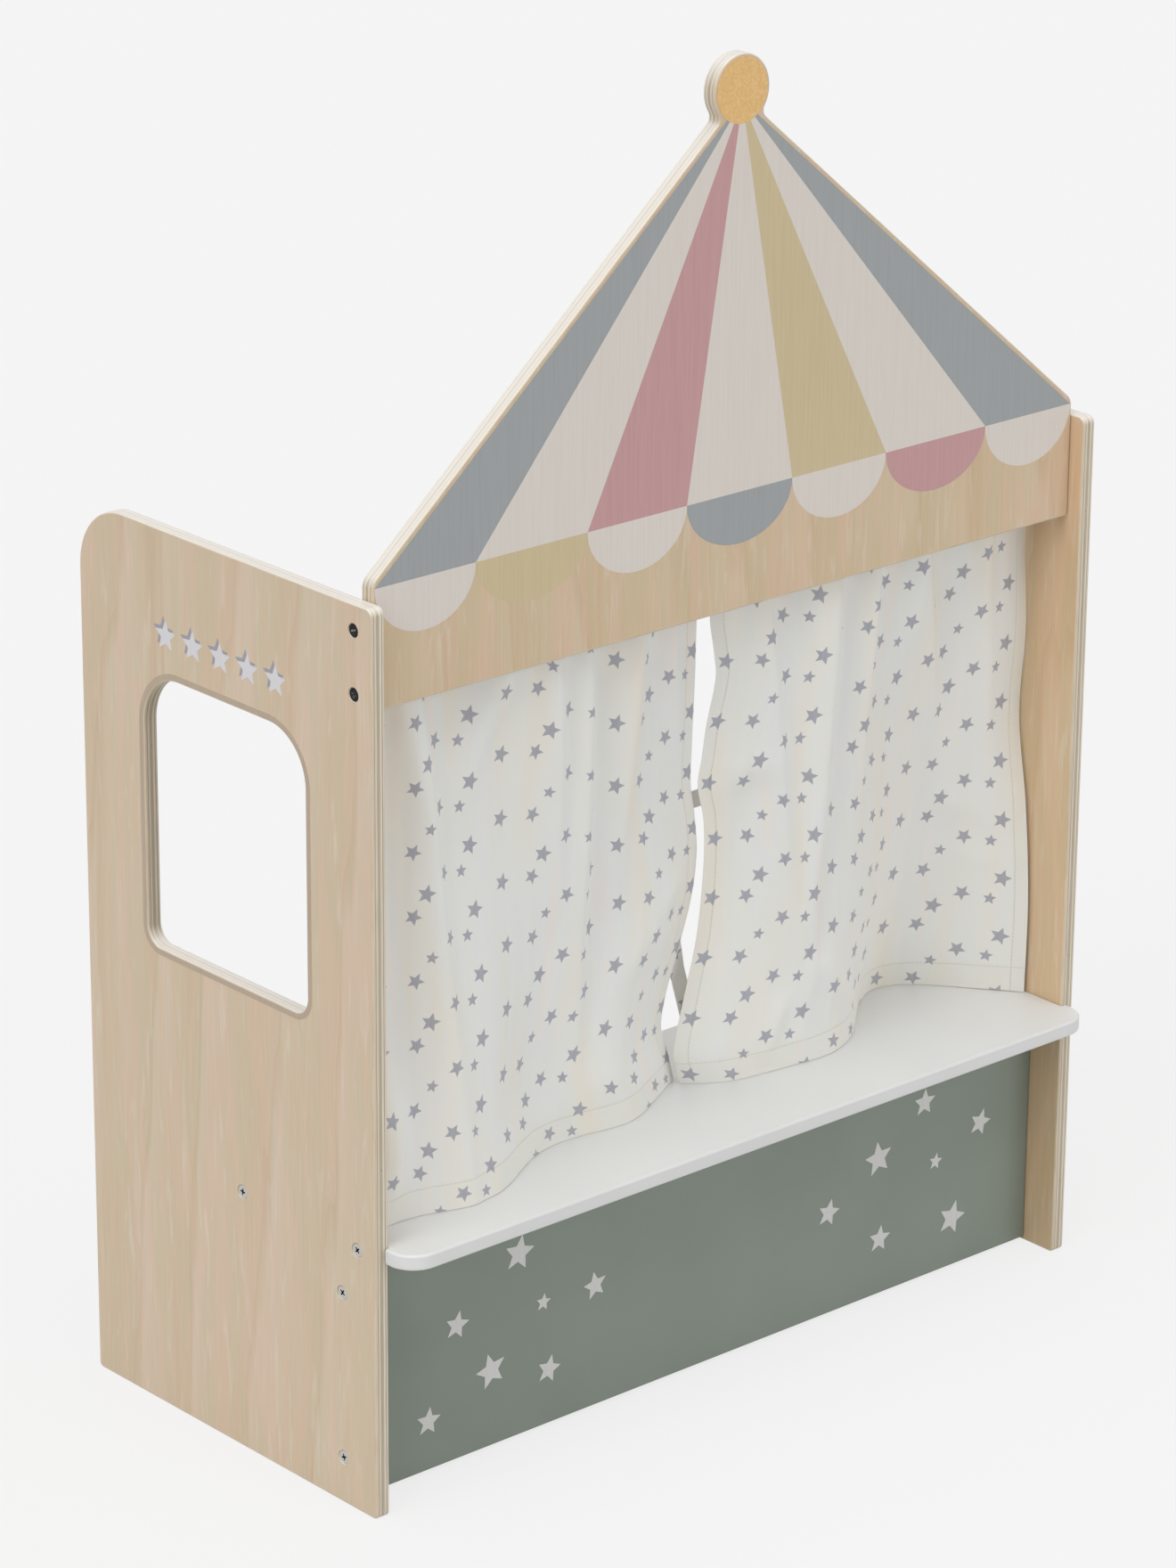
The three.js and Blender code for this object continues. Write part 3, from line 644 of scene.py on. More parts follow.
def seam_masks(tree, run):
    """1 where the cloth is double, inside its hems, and 1 on the stitches of the hems."""
    edges = add_node(tree, "ShaderNodeSeparateXYZ", {
        "Vector": add_node(tree, "ShaderNodeUVMap", uv_map="edge_run")}).outputs
    beyond = [add_node(tree, "ShaderNodeMath", {0: distance, 1: width}, operation="SUBTRACT")
              for distance, width in ((edges["X"], side_hem), (edges["Y"], bottom_hem))]
    lines = [add_node(tree, "ShaderNodeMath", {0: place}, operation="ABSOLUTE") for place in beyond]
    inside, stitched = [add_node(tree, "ShaderNodeMath", {0: first, 1: second}, operation="MINIMUM")
                        for first, second in (beyond, lines)]
    double = add_node(tree, "ShaderNodeMapRange", {
        "Value": inside, "From Min": -hem_edge, "From Max": hem_edge, "To Min": 1.0, "To Max": 0.0})
    parts = add_node(tree, "ShaderNodeSeparateXYZ", {"Vector": run}).outputs
    along = add_node(tree, "ShaderNodeMath", {0: parts["X"], 1: parts["Y"]}, operation="ADD")
    dash = add_node(tree, "ShaderNodeMath", {0: along, 1: stitch_length}, operation="PINGPONG")
    shown = add_node(tree, "ShaderNodeMath", {
        0: dash, 1: stitch_gap_share * stitch_length}, operation="GREATER_THAN")
    stitch = add_node(tree, "ShaderNodeMapRange", {
        "Value": stitched, "From Min": thread_core, "From Max": thread_edge, "To Min": shown, "To Max": 0.0})
    return double, stitch


def printed_cotton():
    # Plain-woven cotton, off-white, printed with small grey-blue stars, hemmed with a running stitch
    material, tree = new_material("printed_cotton")
    run = add_node(tree, "ShaderNodeUVMap", uv_map="cloth_run")
    thread = 0.9 * mm  # real threads are about 0.3 mm, drawn coarser so that the weave shows
    weave = add_node(tree, "ShaderNodeTexChecker", {
        "Vector": pattern_run(tree, (thread, thread, 1), place=run), "Scale": 1.0})
    slub, ink = cloudy(tree, (1.2 * mm, 30 * mm, 1), [(0.3, "#A9A9B2"), (0.65, "#B2B3BB")], place=run)
    _, plain = cloudy(tree, (38 * mm, 280 * mm, 1), [
        (0.32, "#F0EADF"), (0.44, "#EDECE5"), (0.57, "#ECEDEA"), (0.69, "#F1EBE4")], place=run)
    double, stitch = seam_masks(tree, run)
    # Painted shade: the double cloth inside the hems is tinted a little darker, as less light shines through
    # it
    double_layer_painted_shade = add_node(tree, "ShaderNodeMix", {0: double, 6: plain, 7: linear("#FEFDFB")}, **colour_tint)
    sewn = add_node(tree, "ShaderNodeMix", {0: stitch, 6: double_layer_painted_shade, 7: linear("#F3F1EA")}, **colour_tint)
    colour = add_node(tree, "ShaderNodeMix", {0: star_mask(tree, run), 6: sewn, 7: ink}, **colour_mix)
    relief = add_node(tree, "ShaderNodeMix", {0: 0.6, 6: weave, 7: slub.outputs["Color"]}, **colour_mix)
    woven = add_node(tree, "ShaderNodeBump", {"Height": relief, "Strength": 0.1, "Distance": 0.12 * mm})
    raised = add_node(tree, "ShaderNodeMath", {0: double, 1: stitch}, operation="SUBTRACT")
    hemmed = add_node(tree, "ShaderNodeBump", {
        "Height": raised, "Strength": 0.6, "Distance": 0.5 * mm, "Normal": woven})
    return end_material(material, {
        "Base Color": colour, "Roughness": 0.9, "Normal": hemmed, "Sheen Weight": 0.15,
        "Subsurface Weight": 0.2, "Subsurface Radius": (1.0, 0.95, 0.85), "Subsurface Scale": 2 * mm})


veneer = lacquered_veneer("outer_poplar_veneer", ["#D3BEA3", "#DBC7AE", "#D7C8AF", "#DEC7B0", "#DACCB8"])
roof_veneer = lacquered_veneer("roof_poplar_veneer", ["#D1B999", "#D9C3A4", "#D5C3A3", "#DCC1A5", "#D8C7AD"])
# The inward faces take a warmer, darker copy of the same veneer: painted shade and warm bounce light from
# the facing boards
inner_veneer_painted_shade = lacquered_veneer("inner_poplar_veneer_painted_shade", [
    "#CFB28B", "#DABE9A", "#D7BE9A", "#DFC19F", "#D9C3A3"])
inks = {
    "blue_grey": screen_ink("blue_grey_ink", "#A3A7A9", "#9EA2A4"),
    "white": screen_ink("white_ink", "#E2DAD2", "#DED6CE"),
    "pink": screen_ink("pink_ink", "#CA9D9E", "#C59899"),
    "mustard": screen_ink("mustard_ink", "#D2C19B", "#CDBC96"),
}
disc_ink = mottled_ink()
band_ink = screen_ink("taupe_ink", "#BFAD99", "#B8A692")
star_ink = screen_ink("pale_star_ink", "#DDDCDA", "#D8D7D5")
row_ink = screen_ink("pale_lilac_ink", "#E1DFE2", "#DCDADD")
shadow_ink = screen_ink("shadow_ink", "#A4A3AC", "#9D9CA6")
white_paint = sprayed_paint("white_satin_paint", "#E2E3E2", "#DFE0DF", 0.38, 1.5 * mm)
sage_paint = sprayed_paint("sage_matt_paint", "#8A9489", "#858F84", 0.5, 1.2 * mm)
black_steel = plated_steel("black_oxide_steel", "#28282A", 0.35)
zinc_steel = plated_steel("zinc_plated_steel", "#C4C3BF", 0.3)
beech = turned_beech()
cotton = printed_cotton()


# Screws, bolts and nuts

screw_rows = [
    ("roof_bolt", ("lower", "upper"), roof_bolt, "black_steel"),
    ("shelf_screw", ("front", "back"), wood_screw, "zinc_steel"),
    ("base_screw", ("lower", "upper"), wood_screw, "zinc_steel"),
]
# The metal outside, then in the recess: bright zinc steel in the black bolts as a painted highlight, black
# steel in the zinc screws as painted shade
screw_metals = {"black_steel": [black_steel, zinc_steel], "zinc_steel": [zinc_steel, black_steel]}


def turn_profile(name, profile, sides=48):
    """Turns a profile of (radius, height) round the Z axis into a closed solid."""
    start, *steps = profile
    piece = draw_line(name, (start[0], 0, start[1]), steps)
    select_all()
    bpy.ops.mesh.spin(steps=sides, angle=2 * math.pi, center=(0, 0, 0), axis=(0, 0, 1))
    select_all()
    bpy.ops.mesh.remove_doubles(threshold=weld_distance)
    face_outwards()
    return piece


def screw_place(name, side):
    """The middle of a screw's head, just under its panel's outer face."""
    low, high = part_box(name)
    return Vector((low.x if side == "left" else high.x, (low.y + high.y) / 2, (low.z + high.z) / 2))


def drive(piece, place, side, turn=0.0):
    """Moves a screw from the Z axis to its place, pointing in from its side."""
    into = math.radians(90) * -ends[side]
    piece.matrix_world = (Matrix.Translation(place) @ Matrix.Rotation(into, 4, "Y")
                          @ Matrix.Rotation(turn, 4, "Z"))
    return settle(piece, piece.name)


def screw_master(kind, screw):
    """A screw on the Z axis with its head at 0 and a cross recess in it."""
    head, shank, depth, length = screw["head"], screw["shank"], screw["depth"], screw["length"]
    half_recess, half_width = screw["recess"] / 2, recess_width / 2
    piece = turn_profile(kind, [
        (0, 0), (head - head_rim, 0), (head - rim_round, rim_round), (head, head_rim), (shank, depth),
        (shank, length - screw_tip), (shank / 2, length), (0, length)])
    for turn in (0, math.radians(90)):
        slot = add_box("recess", (-half_recess, -half_width, -mm), (half_recess, half_width, recess_depth))
        pick(slot)
        select_part(slot, "FACE", lambda centre, normal: normal.z > 0.9)
        bpy.ops.transform.resize(value=(recess_taper, recess_taper, 1))
        bpy.ops.object.mode_set(mode="OBJECT")
        slot.rotation_euler = (0, 0, turn)
        combine(piece, settle(slot, "recess"))
    # The cross recess and a thin rim round it take the second metal: a painted highlight in the bolts,
    # painted shade in the screws
    for face in piece.data.polygons:
        x, y, z = abs(face.center.x), abs(face.center.y), face.center.z
        in_cross = min(x, y) < half_width + head_rim and max(x, y) < half_recess + head_rim
        face.material_index = 1 if in_cross and 0.05 * mm < z < recess_depth + head_rim else 0
    smooth(piece, 30)
    return piece


def screw_hole(screw, name, side):
    """The countersunk hole of a screw."""
    head, shank = screw["head"] + head_fit, screw["shank"] + hole_fit
    end = screw["length"] + hole_fit
    hole = turn_profile("hole", [(0, -cut_overrun), (head, -cut_overrun), (head, 0),
                                 (shank, screw["depth"]), (shank, end), (0, end)])
    return drive(hole, screw_place(name, side), side)


def cut_holes(piece, kinds, sides=ends):
    """Cuts the holes of these kinds of screw, on one side or both."""
    for kind, labels, screw, _ in screw_rows:
        if kind in kinds:
            for side in sides:
                for label in labels:
                    combine(piece, screw_hole(screw, f"{side}_{kind}_{label}", side))


def all_screws():
    """Every screw in its place, each recess turned as its screw happened to stop."""
    turn = 0.35
    for kind, labels, screw, slot in screw_rows:
        master = screw_master(kind, screw)
        for side in ends:
            for label in labels:
                name = f"{side}_{kind}_{label}"
                piece = drive(copy_of(master, name + "_metal"), screw_place(name, side), side, turn)
                dress(piece, "stand", screw_metals[slot], [name])
                turn += 0.9
        bpy.data.objects.remove(master)


def barrel_nuts():
    for side in ends:
        for label in ("lower", "upper"):
            name = f"{side}_barrel_nut_{label}"
            low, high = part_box(name)
            centre = (low + high) / 2
            nut = add_cylinder(name + "_metal", Y, nut_radius, nut_length, centre)
            ease_edges(nut, nut_round, 2)
            thread_radius = roof_bolt["shank"] + hole_fit
            combine(nut, add_cylinder("thread", X, thread_radius, 4 * nut_radius, centre, 32))
            slot_half = nut_slot_width / 2
            combine(nut, add_box("slot", (low.x - mm, high.y - nut_slot_depth, centre.z - slot_half),
                                 (high.x + mm, high.y + mm, centre.z + slot_half)))
            smooth(nut, 30)
            dress(nut, "stand", [zinc_steel], [name])


# Boards

face_share = 0.985


def split_faces(piece, axis, inner=0):
    """Veneer on the two broad faces, a warmer, darker copy on the face that looks inwards as painted shade,
    plies on the rest.
    """
    for face in piece.data.polygons:
        along = face.normal[axis]
        face.material_index = 1 if abs(along) < face_share else 2 if along * inner > 0 else 0


def window_block(name, x_low, x_high, margin):
    """A solid the shape of the window, grown by a margin all round."""
    front = side_front + window_front_margin
    low = Vector((x_low, front - margin, window_sill - margin))
    high = Vector((x_high, front + window_width + margin, window_sill + window_height + margin))
    block = add_box(name, low, high)
    for y in (low.y, high.y):
        round_corner(block, X, y, high.z, window_top_radius + margin, 24)
        round_corner(block, X, y, low.z, window_sill_radius + margin, 14)
    return block


def side_panel(side):
    low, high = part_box(f"{side}_side_panel")
    panel = add_box(f"{side}_panel_board", low, high)
    round_corner(panel, X, high.y, high.z, side_top_back_radius, 28)
    round_corner(panel, X, low.y, high.z, side_top_front_radius, 12)
    for y in (low.y, high.y):
        round_corner(panel, X, y, low.z, side_foot_radius, 8)
    combine(panel, window_block("window", low.x - cut_overrun, high.x + cut_overrun, 0))
    ease_edges(panel, edge_round)
    cut_holes(panel, ("roof_bolt", "shelf_screw", "base_screw"), (side,))
    socket_length = rod_length + 2 * touch_gap
    combine(panel, add_cylinder("rod_socket", X, rod_radius + hole_fit, socket_length, rod_middle, 64))
    split_faces(panel, X, -ends[side])
    smooth(panel)
    edge = plywood_edge(f"{side}_plywood_edge", X, low.x)
    dress(panel, "stand", [veneer, edge, inner_veneer_painted_shade], [f"{side}_side_panel"])


def window_band(side):
    """A printed band round the window, on the panel's outer face."""
    low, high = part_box(f"{side}_side_panel")
    outer = low.x if side == "left" else high.x
    x_low, x_high = sorted((outer + ends[side] * print_thickness, outer - ends[side] * print_sunk))
    band = window_block(f"{side}_window_band", x_low, x_high, window_band_width)
    combine(band, window_block("hole", x_low - mm, x_high + mm, window_band_start))
    dress(band, "stand", [band_ink])


def neck_points():
    """The right neck of the finial: where its two tangents cross, where it meets the finial, and its
    run along each tangent."""
    length = math.hypot(roof_half, roof_rise)
    outward = Vector((roof_rise, roof_half)) / length
    up_slope = Vector((-roof_half, roof_rise)) / length
    finial = Vector((0, finial_height))
    start = Vector((roof_half, eave_height)) + outward * neck_radius - finial
    along = -start.dot(up_slope)
    across = (start + up_slope * along).length
    reach = finial_radius + neck_radius
    centre = finial + start + up_slope * (along - math.sqrt(reach ** 2 - across ** 2))
    on_slope = -outward * neck_radius
    on_finial = (finial - centre) * (neck_radius / reach)
    squared = neck_radius ** 2
    crossing = centre + (on_slope + on_finial) * squared / (squared + on_slope.dot(on_finial))
    return crossing, centre + on_finial, (centre + on_slope - crossing).length


def lean_peak(piece):
    """Leans what lies above the eaves, as the board's peak stands a little left of its middle."""
    for vertex in piece.data.vertices:
        share = max(0.0, vertex.co.z - eave_height) / (finial_height - eave_height)
        vertex.co.x += peak_lean * share


def roof_panel():
    crossing, meeting, neck_run = neck_points()
    below = 2 * math.atan2(meeting.x, finial_height - meeting.y)
    panel = draw_line("roof_board", (meeting.x, roof_back, meeting.y), [
        (crossing.x, crossing.y), (roof_half, eave_height), (roof_half, roof_bottom),
        (-roof_half, roof_bottom), (-roof_half, eave_height), (-crossing.x, crossing.y),
        (-meeting.x, meeting.y), (0, finial_height, 2 * math.pi - below, 72)])
    fill_and_thicken(panel, roof_front - roof_back)
    eave_turn = math.pi / 2 - math.atan2(roof_rise, roof_half)
    for sign in (-1, 1):
        round_corner(panel, Y, sign * crossing.x, crossing.y, neck_run * 0.98, 10)
        round_corner(panel, Y, sign * roof_half, eave_height, eave_radius * math.tan(eave_turn / 2), 12)
        round_corner(panel, Y, sign * roof_half, roof_bottom, roof_bottom_radius, 5)
    lean_peak(panel)
    ease_edges(panel, edge_round)
    for side in ends:
        for label in ("lower", "upper"):
            low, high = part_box(f"{side}_barrel_nut_{label}")
            depth = nut_length + hole_fit + cut_overrun
            place = ((low.x + high.x) / 2, low.y - hole_fit + depth / 2, (low.z + high.z) / 2)
            combine(panel, add_cylinder("nut_hole", Y, nut_radius + hole_fit, depth, place))
    cut_holes(panel, ("roof_bolt",))
    split_faces(panel, Y)
    smooth(panel)
    edge = plywood_edge("roof_plywood_edge", Y, roof_front)
    dress(panel, "stand", [roof_veneer, edge], ["roof_panel"])


def stage_shelf():
    inner = roof_half  # both boards fit between the side panels
    notch = side_front - touch_gap
    shelf = add_box("shelf_board", (-inner, shelf_low.y, shelf_low.z), (inner, shelf_high.y, shelf_high.z))
    pick(shelf)
    bpy.ops.object.mode_set(mode="EDIT")
    select_all()
    bpy.ops.mesh.bisect(plane_co=(0, notch, 0), plane_no=(0, 1, 0))
    for sign in (-1, 1):
        select_part(shelf, "FACE", lambda centre, normal: normal.x * sign > 0.9 and centre.y < notch)
        bpy.ops.mesh.extrude_region_move(
            TRANSFORM_OT_translate={"value": (sign * (shelf_high.x - inner), 0, 0)})
    select_all()
    bpy.ops.mesh.dissolve_limited(angle_limit=math.radians(1))
    bpy.ops.object.mode_set(mode="OBJECT")
    for sign in (-1, 1):
        round_corner(shelf, Z, sign * shelf_high.x, shelf_low.y, shelf_corner_radius, 20)
        round_corner(shelf, Z, sign * inner, shelf_high.y, shelf_back_radius, 8)
    ease_edges(shelf, shelf_edge_round, 5)
    cut_holes(shelf, ("shelf_screw",))
    smooth(shelf)
    dress(shelf, "stand", [white_paint], ["stage_shelf"])


def base_panel():
    panel = add_box("base_board", base_low, base_high)
    ease_edges(panel, edge_round)
    cut_holes(panel, ("base_screw",))
    smooth(panel)
    dress(panel, "stand", [sage_paint], ["base_panel"])


def curtain_rod():
    rod = add_cylinder("curtain_dowel", X, rod_radius, rod_length, rod_middle, 64)
    ease_edges(rod, rod_end_round, 3)
    smooth(rod)
    dress(rod, "stand", [beech], ["curtain_rod"])


# Prints

def front_print(name, face, outlines, material, raised=0.0):
    """Flat ink shapes on a board's front face; each outline is a start point and its steps."""
    parts = []
    for (x, z), steps in outlines:
        part = draw_line(name, (x, face + print_sunk, z), steps)
        fill_and_thicken(part, -(print_sunk + print_thickness + raised))
        parts.append(part)
    return dress(join(parts, name), "stand", [material])


scallop_steps = 32


def roof_prints():
    shapes = {ink: [] for ink in inks}
    for left, right, stripe, scallop in zip(stripe_edges, stripe_edges[1:], stripe_inks, scallop_inks):
        shapes[stripe].append(((left, stripe_line), [(0, stripe_apex), (right, stripe_line)]))
        middle, half = (left + right) / 2, (right - left) / 2
        turns = [math.pi * i / scallop_steps for i in range(1, scallop_steps + 1)]
        shapes[scallop].append(((right, stripe_line), [
            (middle + half * math.cos(turn), stripe_line - scallop_depth * math.sin(turn))
            for turn in turns]))
    for ink, outlines in shapes.items():
        lean_peak(front_print(f"roof_print_{ink}", roof_front, outlines, inks[ink]))
    start = (-disc_radius, finial_height)
    lean_peak(front_print("roof_print_disc", roof_front, [(start, [(0, finial_height, 2 * math.pi, 72)])],
                          disc_ink, disc_raised))


def star_points(x, z, radius, turn):
    """The ten corners of a star, as an outline for a print."""
    corners = []
    for i in range(10):
        reach = radius * (star_notch_share if i % 2 else 1)
        angle = math.radians(turn + 36 * i)
        corners.append((x + reach * math.sin(angle), z + reach * math.cos(angle)))
    return corners[0], corners[1:]


def base_star_print():
    front_print("base_star_print", base_low.y, [star_points(*star) for star in base_stars], star_ink)


def star_row(name, material, shift, raised):
    """The row of stars on the left panel's outer face, or its shadow."""
    row_half = (row_star_count - 1) / 2 * row_star_pitch
    places = [row_middle + shift - row_half + i * row_star_pitch for i in range(row_star_count)]
    stars = [star_points(-y, row_height + shift, row_star_radius, 0) for y in places]
    row = front_print(name, 0, stars, material, raised)
    row.matrix_world = Matrix.Translation((-half_stand, 0, 0)) @ Matrix.Rotation(math.radians(-90), 4, "Z")
    settle(row, name)


# Curtains

hem_line = shelf_high.z + touch_gap
cloth_top = rod_z - rod_radius - pocket_ease
pocket_radius = rod_radius + pocket_ease + cloth_thickness / 2
cloth_end = half_inner - curtain_side_gap


def fold_height(side, x, height):
    """How far the folds bring a place on the cloth forward."""
    total = 0.0
    for values in folds[side]:
        start_x, start_z, end_x, end_z, depth, soft, steep = (value * mm for value in values)
        along_x, along_z = end_x - start_x, end_z - start_z
        length = math.hypot(along_x, along_z)
        through = ((x - start_x) * along_x + (height - start_z) * along_z) / length ** 2
        beside = ((height - start_z) * along_x - (x - start_x) * along_z) / length
        if 0 < through < 1 and -fold_reach * soft < beside < fold_reach * steep:
            rise = min(1.0, through * length / fold_start)
            fade = rise ** 2 * (3 - 2 * rise) * math.cos(math.pi / 2 * through)
            total += fold_gain * depth * fade / (math.exp(-beside / soft) + math.exp(beside / steep))
    return total


def smooth_line(points, height):
    """A value in metres at a height, along a smooth line through chosen points in millimetres."""
    height = min(max(height / mm, points[0][0]), points[-1][0])
    index = 0
    while index < len(points) - 2 and height > points[index + 1][0]:
        index += 1
    before, start, end, after = (points[max(0, min(len(points) - 1, index + k))] for k in (-1, 0, 1, 2))
    share = (height - start[0]) / (end[0] - start[0])
    steep_start = (end[1] - before[1]) / (end[0] - before[0]) * (end[0] - start[0])
    steep_end = (after[1] - start[1]) / (after[0] - start[0]) * (end[0] - start[0])
    s2, s3 = share ** 2, share ** 3
    return ((2 * s3 - 3 * s2 + 1) * start[1] + (s3 - 2 * s2 + share) * steep_start
            + (3 * s2 - 2 * s3) * end[1] + (s3 - s2) * steep_end) * mm


def share_down(height):
    return (cloth_top - height) / (cloth_top - hem_line)


def clear_of_roof(offset, height):
    """Eases an offset back where it would press the cloth into the roof board."""
    room = rod_y - roof_back - roof_room + max(0.0, roof_bottom - height)
    forward = max(0.0, -offset)
    return offset + forward - forward / (1 + (forward / room) ** 4) ** 0.25


def fold_offset(side, share, height):
    """How far behind the rod's line the cloth hangs."""
    fold = curtains[side]
    down = max(0.0, share_down(height))
    turn = 2 * math.pi
    hem_offset = (fold["offset"] + fold["lead_run_back"] * share
                  + fold["wide_fold"] * math.sin(turn * (share + fold["wide_phase_share"]))
                  + fold["narrow_fold"] * math.sin(turn * (2 * share + fold["narrow_phase_share"])))
    swing = smooth_line(outer_swings[side], height) * math.exp(-share / outer_swing_share)
    if side == "left":
        swing -= (curl_depth * math.exp(-((height - curl_height) / curl_half_height) ** 2)
                  * math.exp(-((share - curl_place_share) / curl_width_share) ** 2))
    offset = hem_offset * down ** fold_growth - fold_height(side, curtain_x(side, share, height), height)
    return clear_of_roof(offset + swing, height)


def lead_x(side, height):
    return smooth_line(lead_lines[side], height)


def curtain_x(side, share, height):
    outer = ends[side] * cloth_end
    return outer + (lead_x(side, height) - outer) * share


def ripple(side, share, height):
    """Small soft wrinkles over the main folds, and puckers just under the pocket."""
    x = share * 10 + wrinkle_starts[side]
    down = share_down(height)
    soft = noise.noise(Vector((x * 1.1, down * 2.2, 0.5))) * soft_wrinkle
    fine = noise.noise(Vector((x * 3.5, down * 3.0, 4.5))) * fine_wrinkle
    fade = math.exp(-abs(down) / pucker_fade_share)
    pucker = math.sin(x * 11 + 2 * math.sin(x * 3)) * pucker_depth * fade
    return (soft + fine) * min(1.0, max(0.0, down * 8)) + pucker


def cloth_y(side, share, height):
    """Where the cloth hangs, with its folds and wrinkles."""
    return rod_y + fold_offset(side, share, height) + ripple(side, share, height)


def curtain_path(side, share):
    """One column of the cloth, as (y, z): up behind the rod, over it, and down to the hem."""
    path = []
    radius = pocket_radius + gather_depth * (1 + math.sin(share * 260 + 3 * math.sin(share * 31)))
    seam, flap_top = cloth_top - pocket_flap, cloth_top + 1.5 * mm
    for i in range(curtain_flap_rows):
        up = i / curtain_flap_rows
        z = seam + (flap_top - seam) * up
        path.append((cloth_y(side, share, z) + flap_gap + flap_lean * up ** 2, z))
    start_angle, end_angle = math.radians(-70), math.radians(250)
    for i in range(curtain_pocket_rows + 1):
        angle = start_angle + (end_angle - start_angle) * i / curtain_pocket_rows
        path.append((rod_y + radius * math.cos(angle), rod_z + radius * math.sin(angle)))
    top = path[-1][1] - 2 * mm
    for i in range(curtain_drop_rows + 1):
        z = top + (hem_line + cloth_thickness / 2 - top) * i / curtain_drop_rows
        lift = seam_lift * max(0.0, 1 - (top - z) / seam_fade) ** 2
        path.append((cloth_y(side, share, z) - lift, z))
    return path


def lengths_along(points):
    """How far a line has run at each of its points."""
    runs = [0.0]
    for a, b in zip(points, points[1:]):
        runs.append(runs[-1] + (b - a).length)
    return runs


def cloth_grid(name, columns, rows, place, runs):
    """A sheet of cloth, with each corner's place, and its place on the print and from the edges."""
    bpy.ops.mesh.primitive_grid_add(x_subdivisions=columns, y_subdivisions=rows, size=1)
    cloth = settle(bpy.context.object, name)
    print_run = cloth.data.uv_layers[0]
    print_run.name = "cloth_run"
    edge_run = cloth.data.uv_layers.new(name="edge_run")
    cells = []
    for vertex in cloth.data.vertices:
        cells.append((round((vertex.co.x + 0.5) * columns), round((0.5 - vertex.co.y) * rows)))
        vertex.co = place(*cells[-1])
    for loop in cloth.data.loops:
        print_run.data[loop.index].uv, edge_run.data[loop.index].uv = runs(*cells[loop.vertex_index])
    return cloth


def curtain(side):
    rows = curtain_flap_rows + curtain_pocket_rows + 1 + curtain_drop_rows
    sign = ends[side]
    shares = [i / curtain_columns for i in range(curtain_columns + 1)]
    grid = [[Vector((curtain_x(side, share, z), y, z)) for y, z in curtain_path(side, share)]
            for share in shares]
    down = [lengths_along(column) for column in grid]
    across = [lengths_along(row) for row in zip(*grid)]
    width = sum(runs[-1] for runs in across) / len(across)
    length = sum(runs[-1] for runs in down) / len(down)
    start_x, start_z = cloth_starts[side]

    def runs_at(i, j):
        from_outer = across[j][i] * width / across[j][-1]
        above_hem = down[i][-1] - down[i][j]
        return ((start_x - sign * from_outer, start_z + above_hem),
                (min(from_outer, width - from_outer), above_hem))

    cloth = cloth_grid(f"{side}_curtain_cloth", curtain_columns, rows, lambda i, j: grid[i][j], runs_at)
    modify(cloth, "SOLIDIFY", thickness=cloth_thickness, offset=0.0, use_even_offset=False)
    pick(cloth)
    bpy.ops.object.mode_set(mode="EDIT")
    face_outwards()
    bpy.ops.object.shade_smooth_by_angle(angle=math.radians(60))
    dress(cloth, "stand", [cotton], [f"{side}_curtain"])
    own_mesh(cloth)
    return cloth, (width, length)


def curtain_tie(side):
    """A flat ribbon that hangs from a seam behind its curtain."""
    tie, fold, sign = ties[side], curtains[side], ends[side]
    height = cloth_top - hem_line
    sewn_z = cloth_top - height * tie["sewn_share"]
    sewn_x = fold["lead_top"] + fold["lead_flare"] * share_down(sewn_z) + sign * tie["inset"]

    def along(share):
        quarter = math.pi / 2 * share
        across = (1 - tie["bow"]) * share + tie["bow"] * math.sin(quarter)
        fallen = (1 - tie["bow"]) * share + tie["bow"] * (1 - math.cos(quarter))
        return Vector((sewn_x + tie["sway"] * across, sewn_z - height * tie["drop_share"] * fallen))

    def cloth_back(x, z):
        """How far back the cloth reaches there: both curtains at rest, and its own one slid as well."""
        backs = []
        for other in ends:
            lead, outer = lead_x(other, z), ends[other] * cloth_end
            shares = [(x - outer) / (lead - outer)]
            for slid in (0.5, 1.0) if other == side else ():
                kept = 1 - (1 - fold["keep"]) * slid
                shares.append(((x + sign * fold["travel"] * slid - outer) / kept) / (lead - outer))
            backs += [cloth_y(other, min(1.0, share), z) for share in shares
                      if other == side or share <= 1 or abs(x - lead) <= lead_room]
        return max(backs) + cad_cloth_thickness / 2

    def place(i, j):
        share = j / tie_steps
        centre = along(share)
        heading = (along(share + 0.02) - along(share - 0.02)).normalized()
        edge = Vector((-heading.y, heading.x)) * tie_width
        point = centre + edge * (i / tie_columns - 0.5)
        back = max(cloth_back(*(centre + edge * (k / tie_columns - 0.5))) for k in range(tie_columns + 1))
        return point.x, back + tie_seat + tie["stand_off"] * min(1.0, 2 * share), point.y

    runs = lengths_along([along(k / tie_steps) for k in range(tie_steps + 1)])
    # It is cut from the printed cloth and lies far from any hem
    ribbon = cloth_grid(f"{side}_tie_ribbon", tie_columns, tie_steps, place,
                        lambda i, j: (((i / tie_columns - 0.5) * tie_width, 1 - runs[j]), (1, 1)))
    modify(ribbon, "SOLIDIFY", thickness=tie_thickness, offset=0.0)
    pick(ribbon)
    bpy.ops.object.shade_smooth_by_angle(angle=math.radians(50))
    dress(ribbon, f"{side}_drape", [cotton], [f"{side}_curtain_tie"])


# Camera, lights and stage

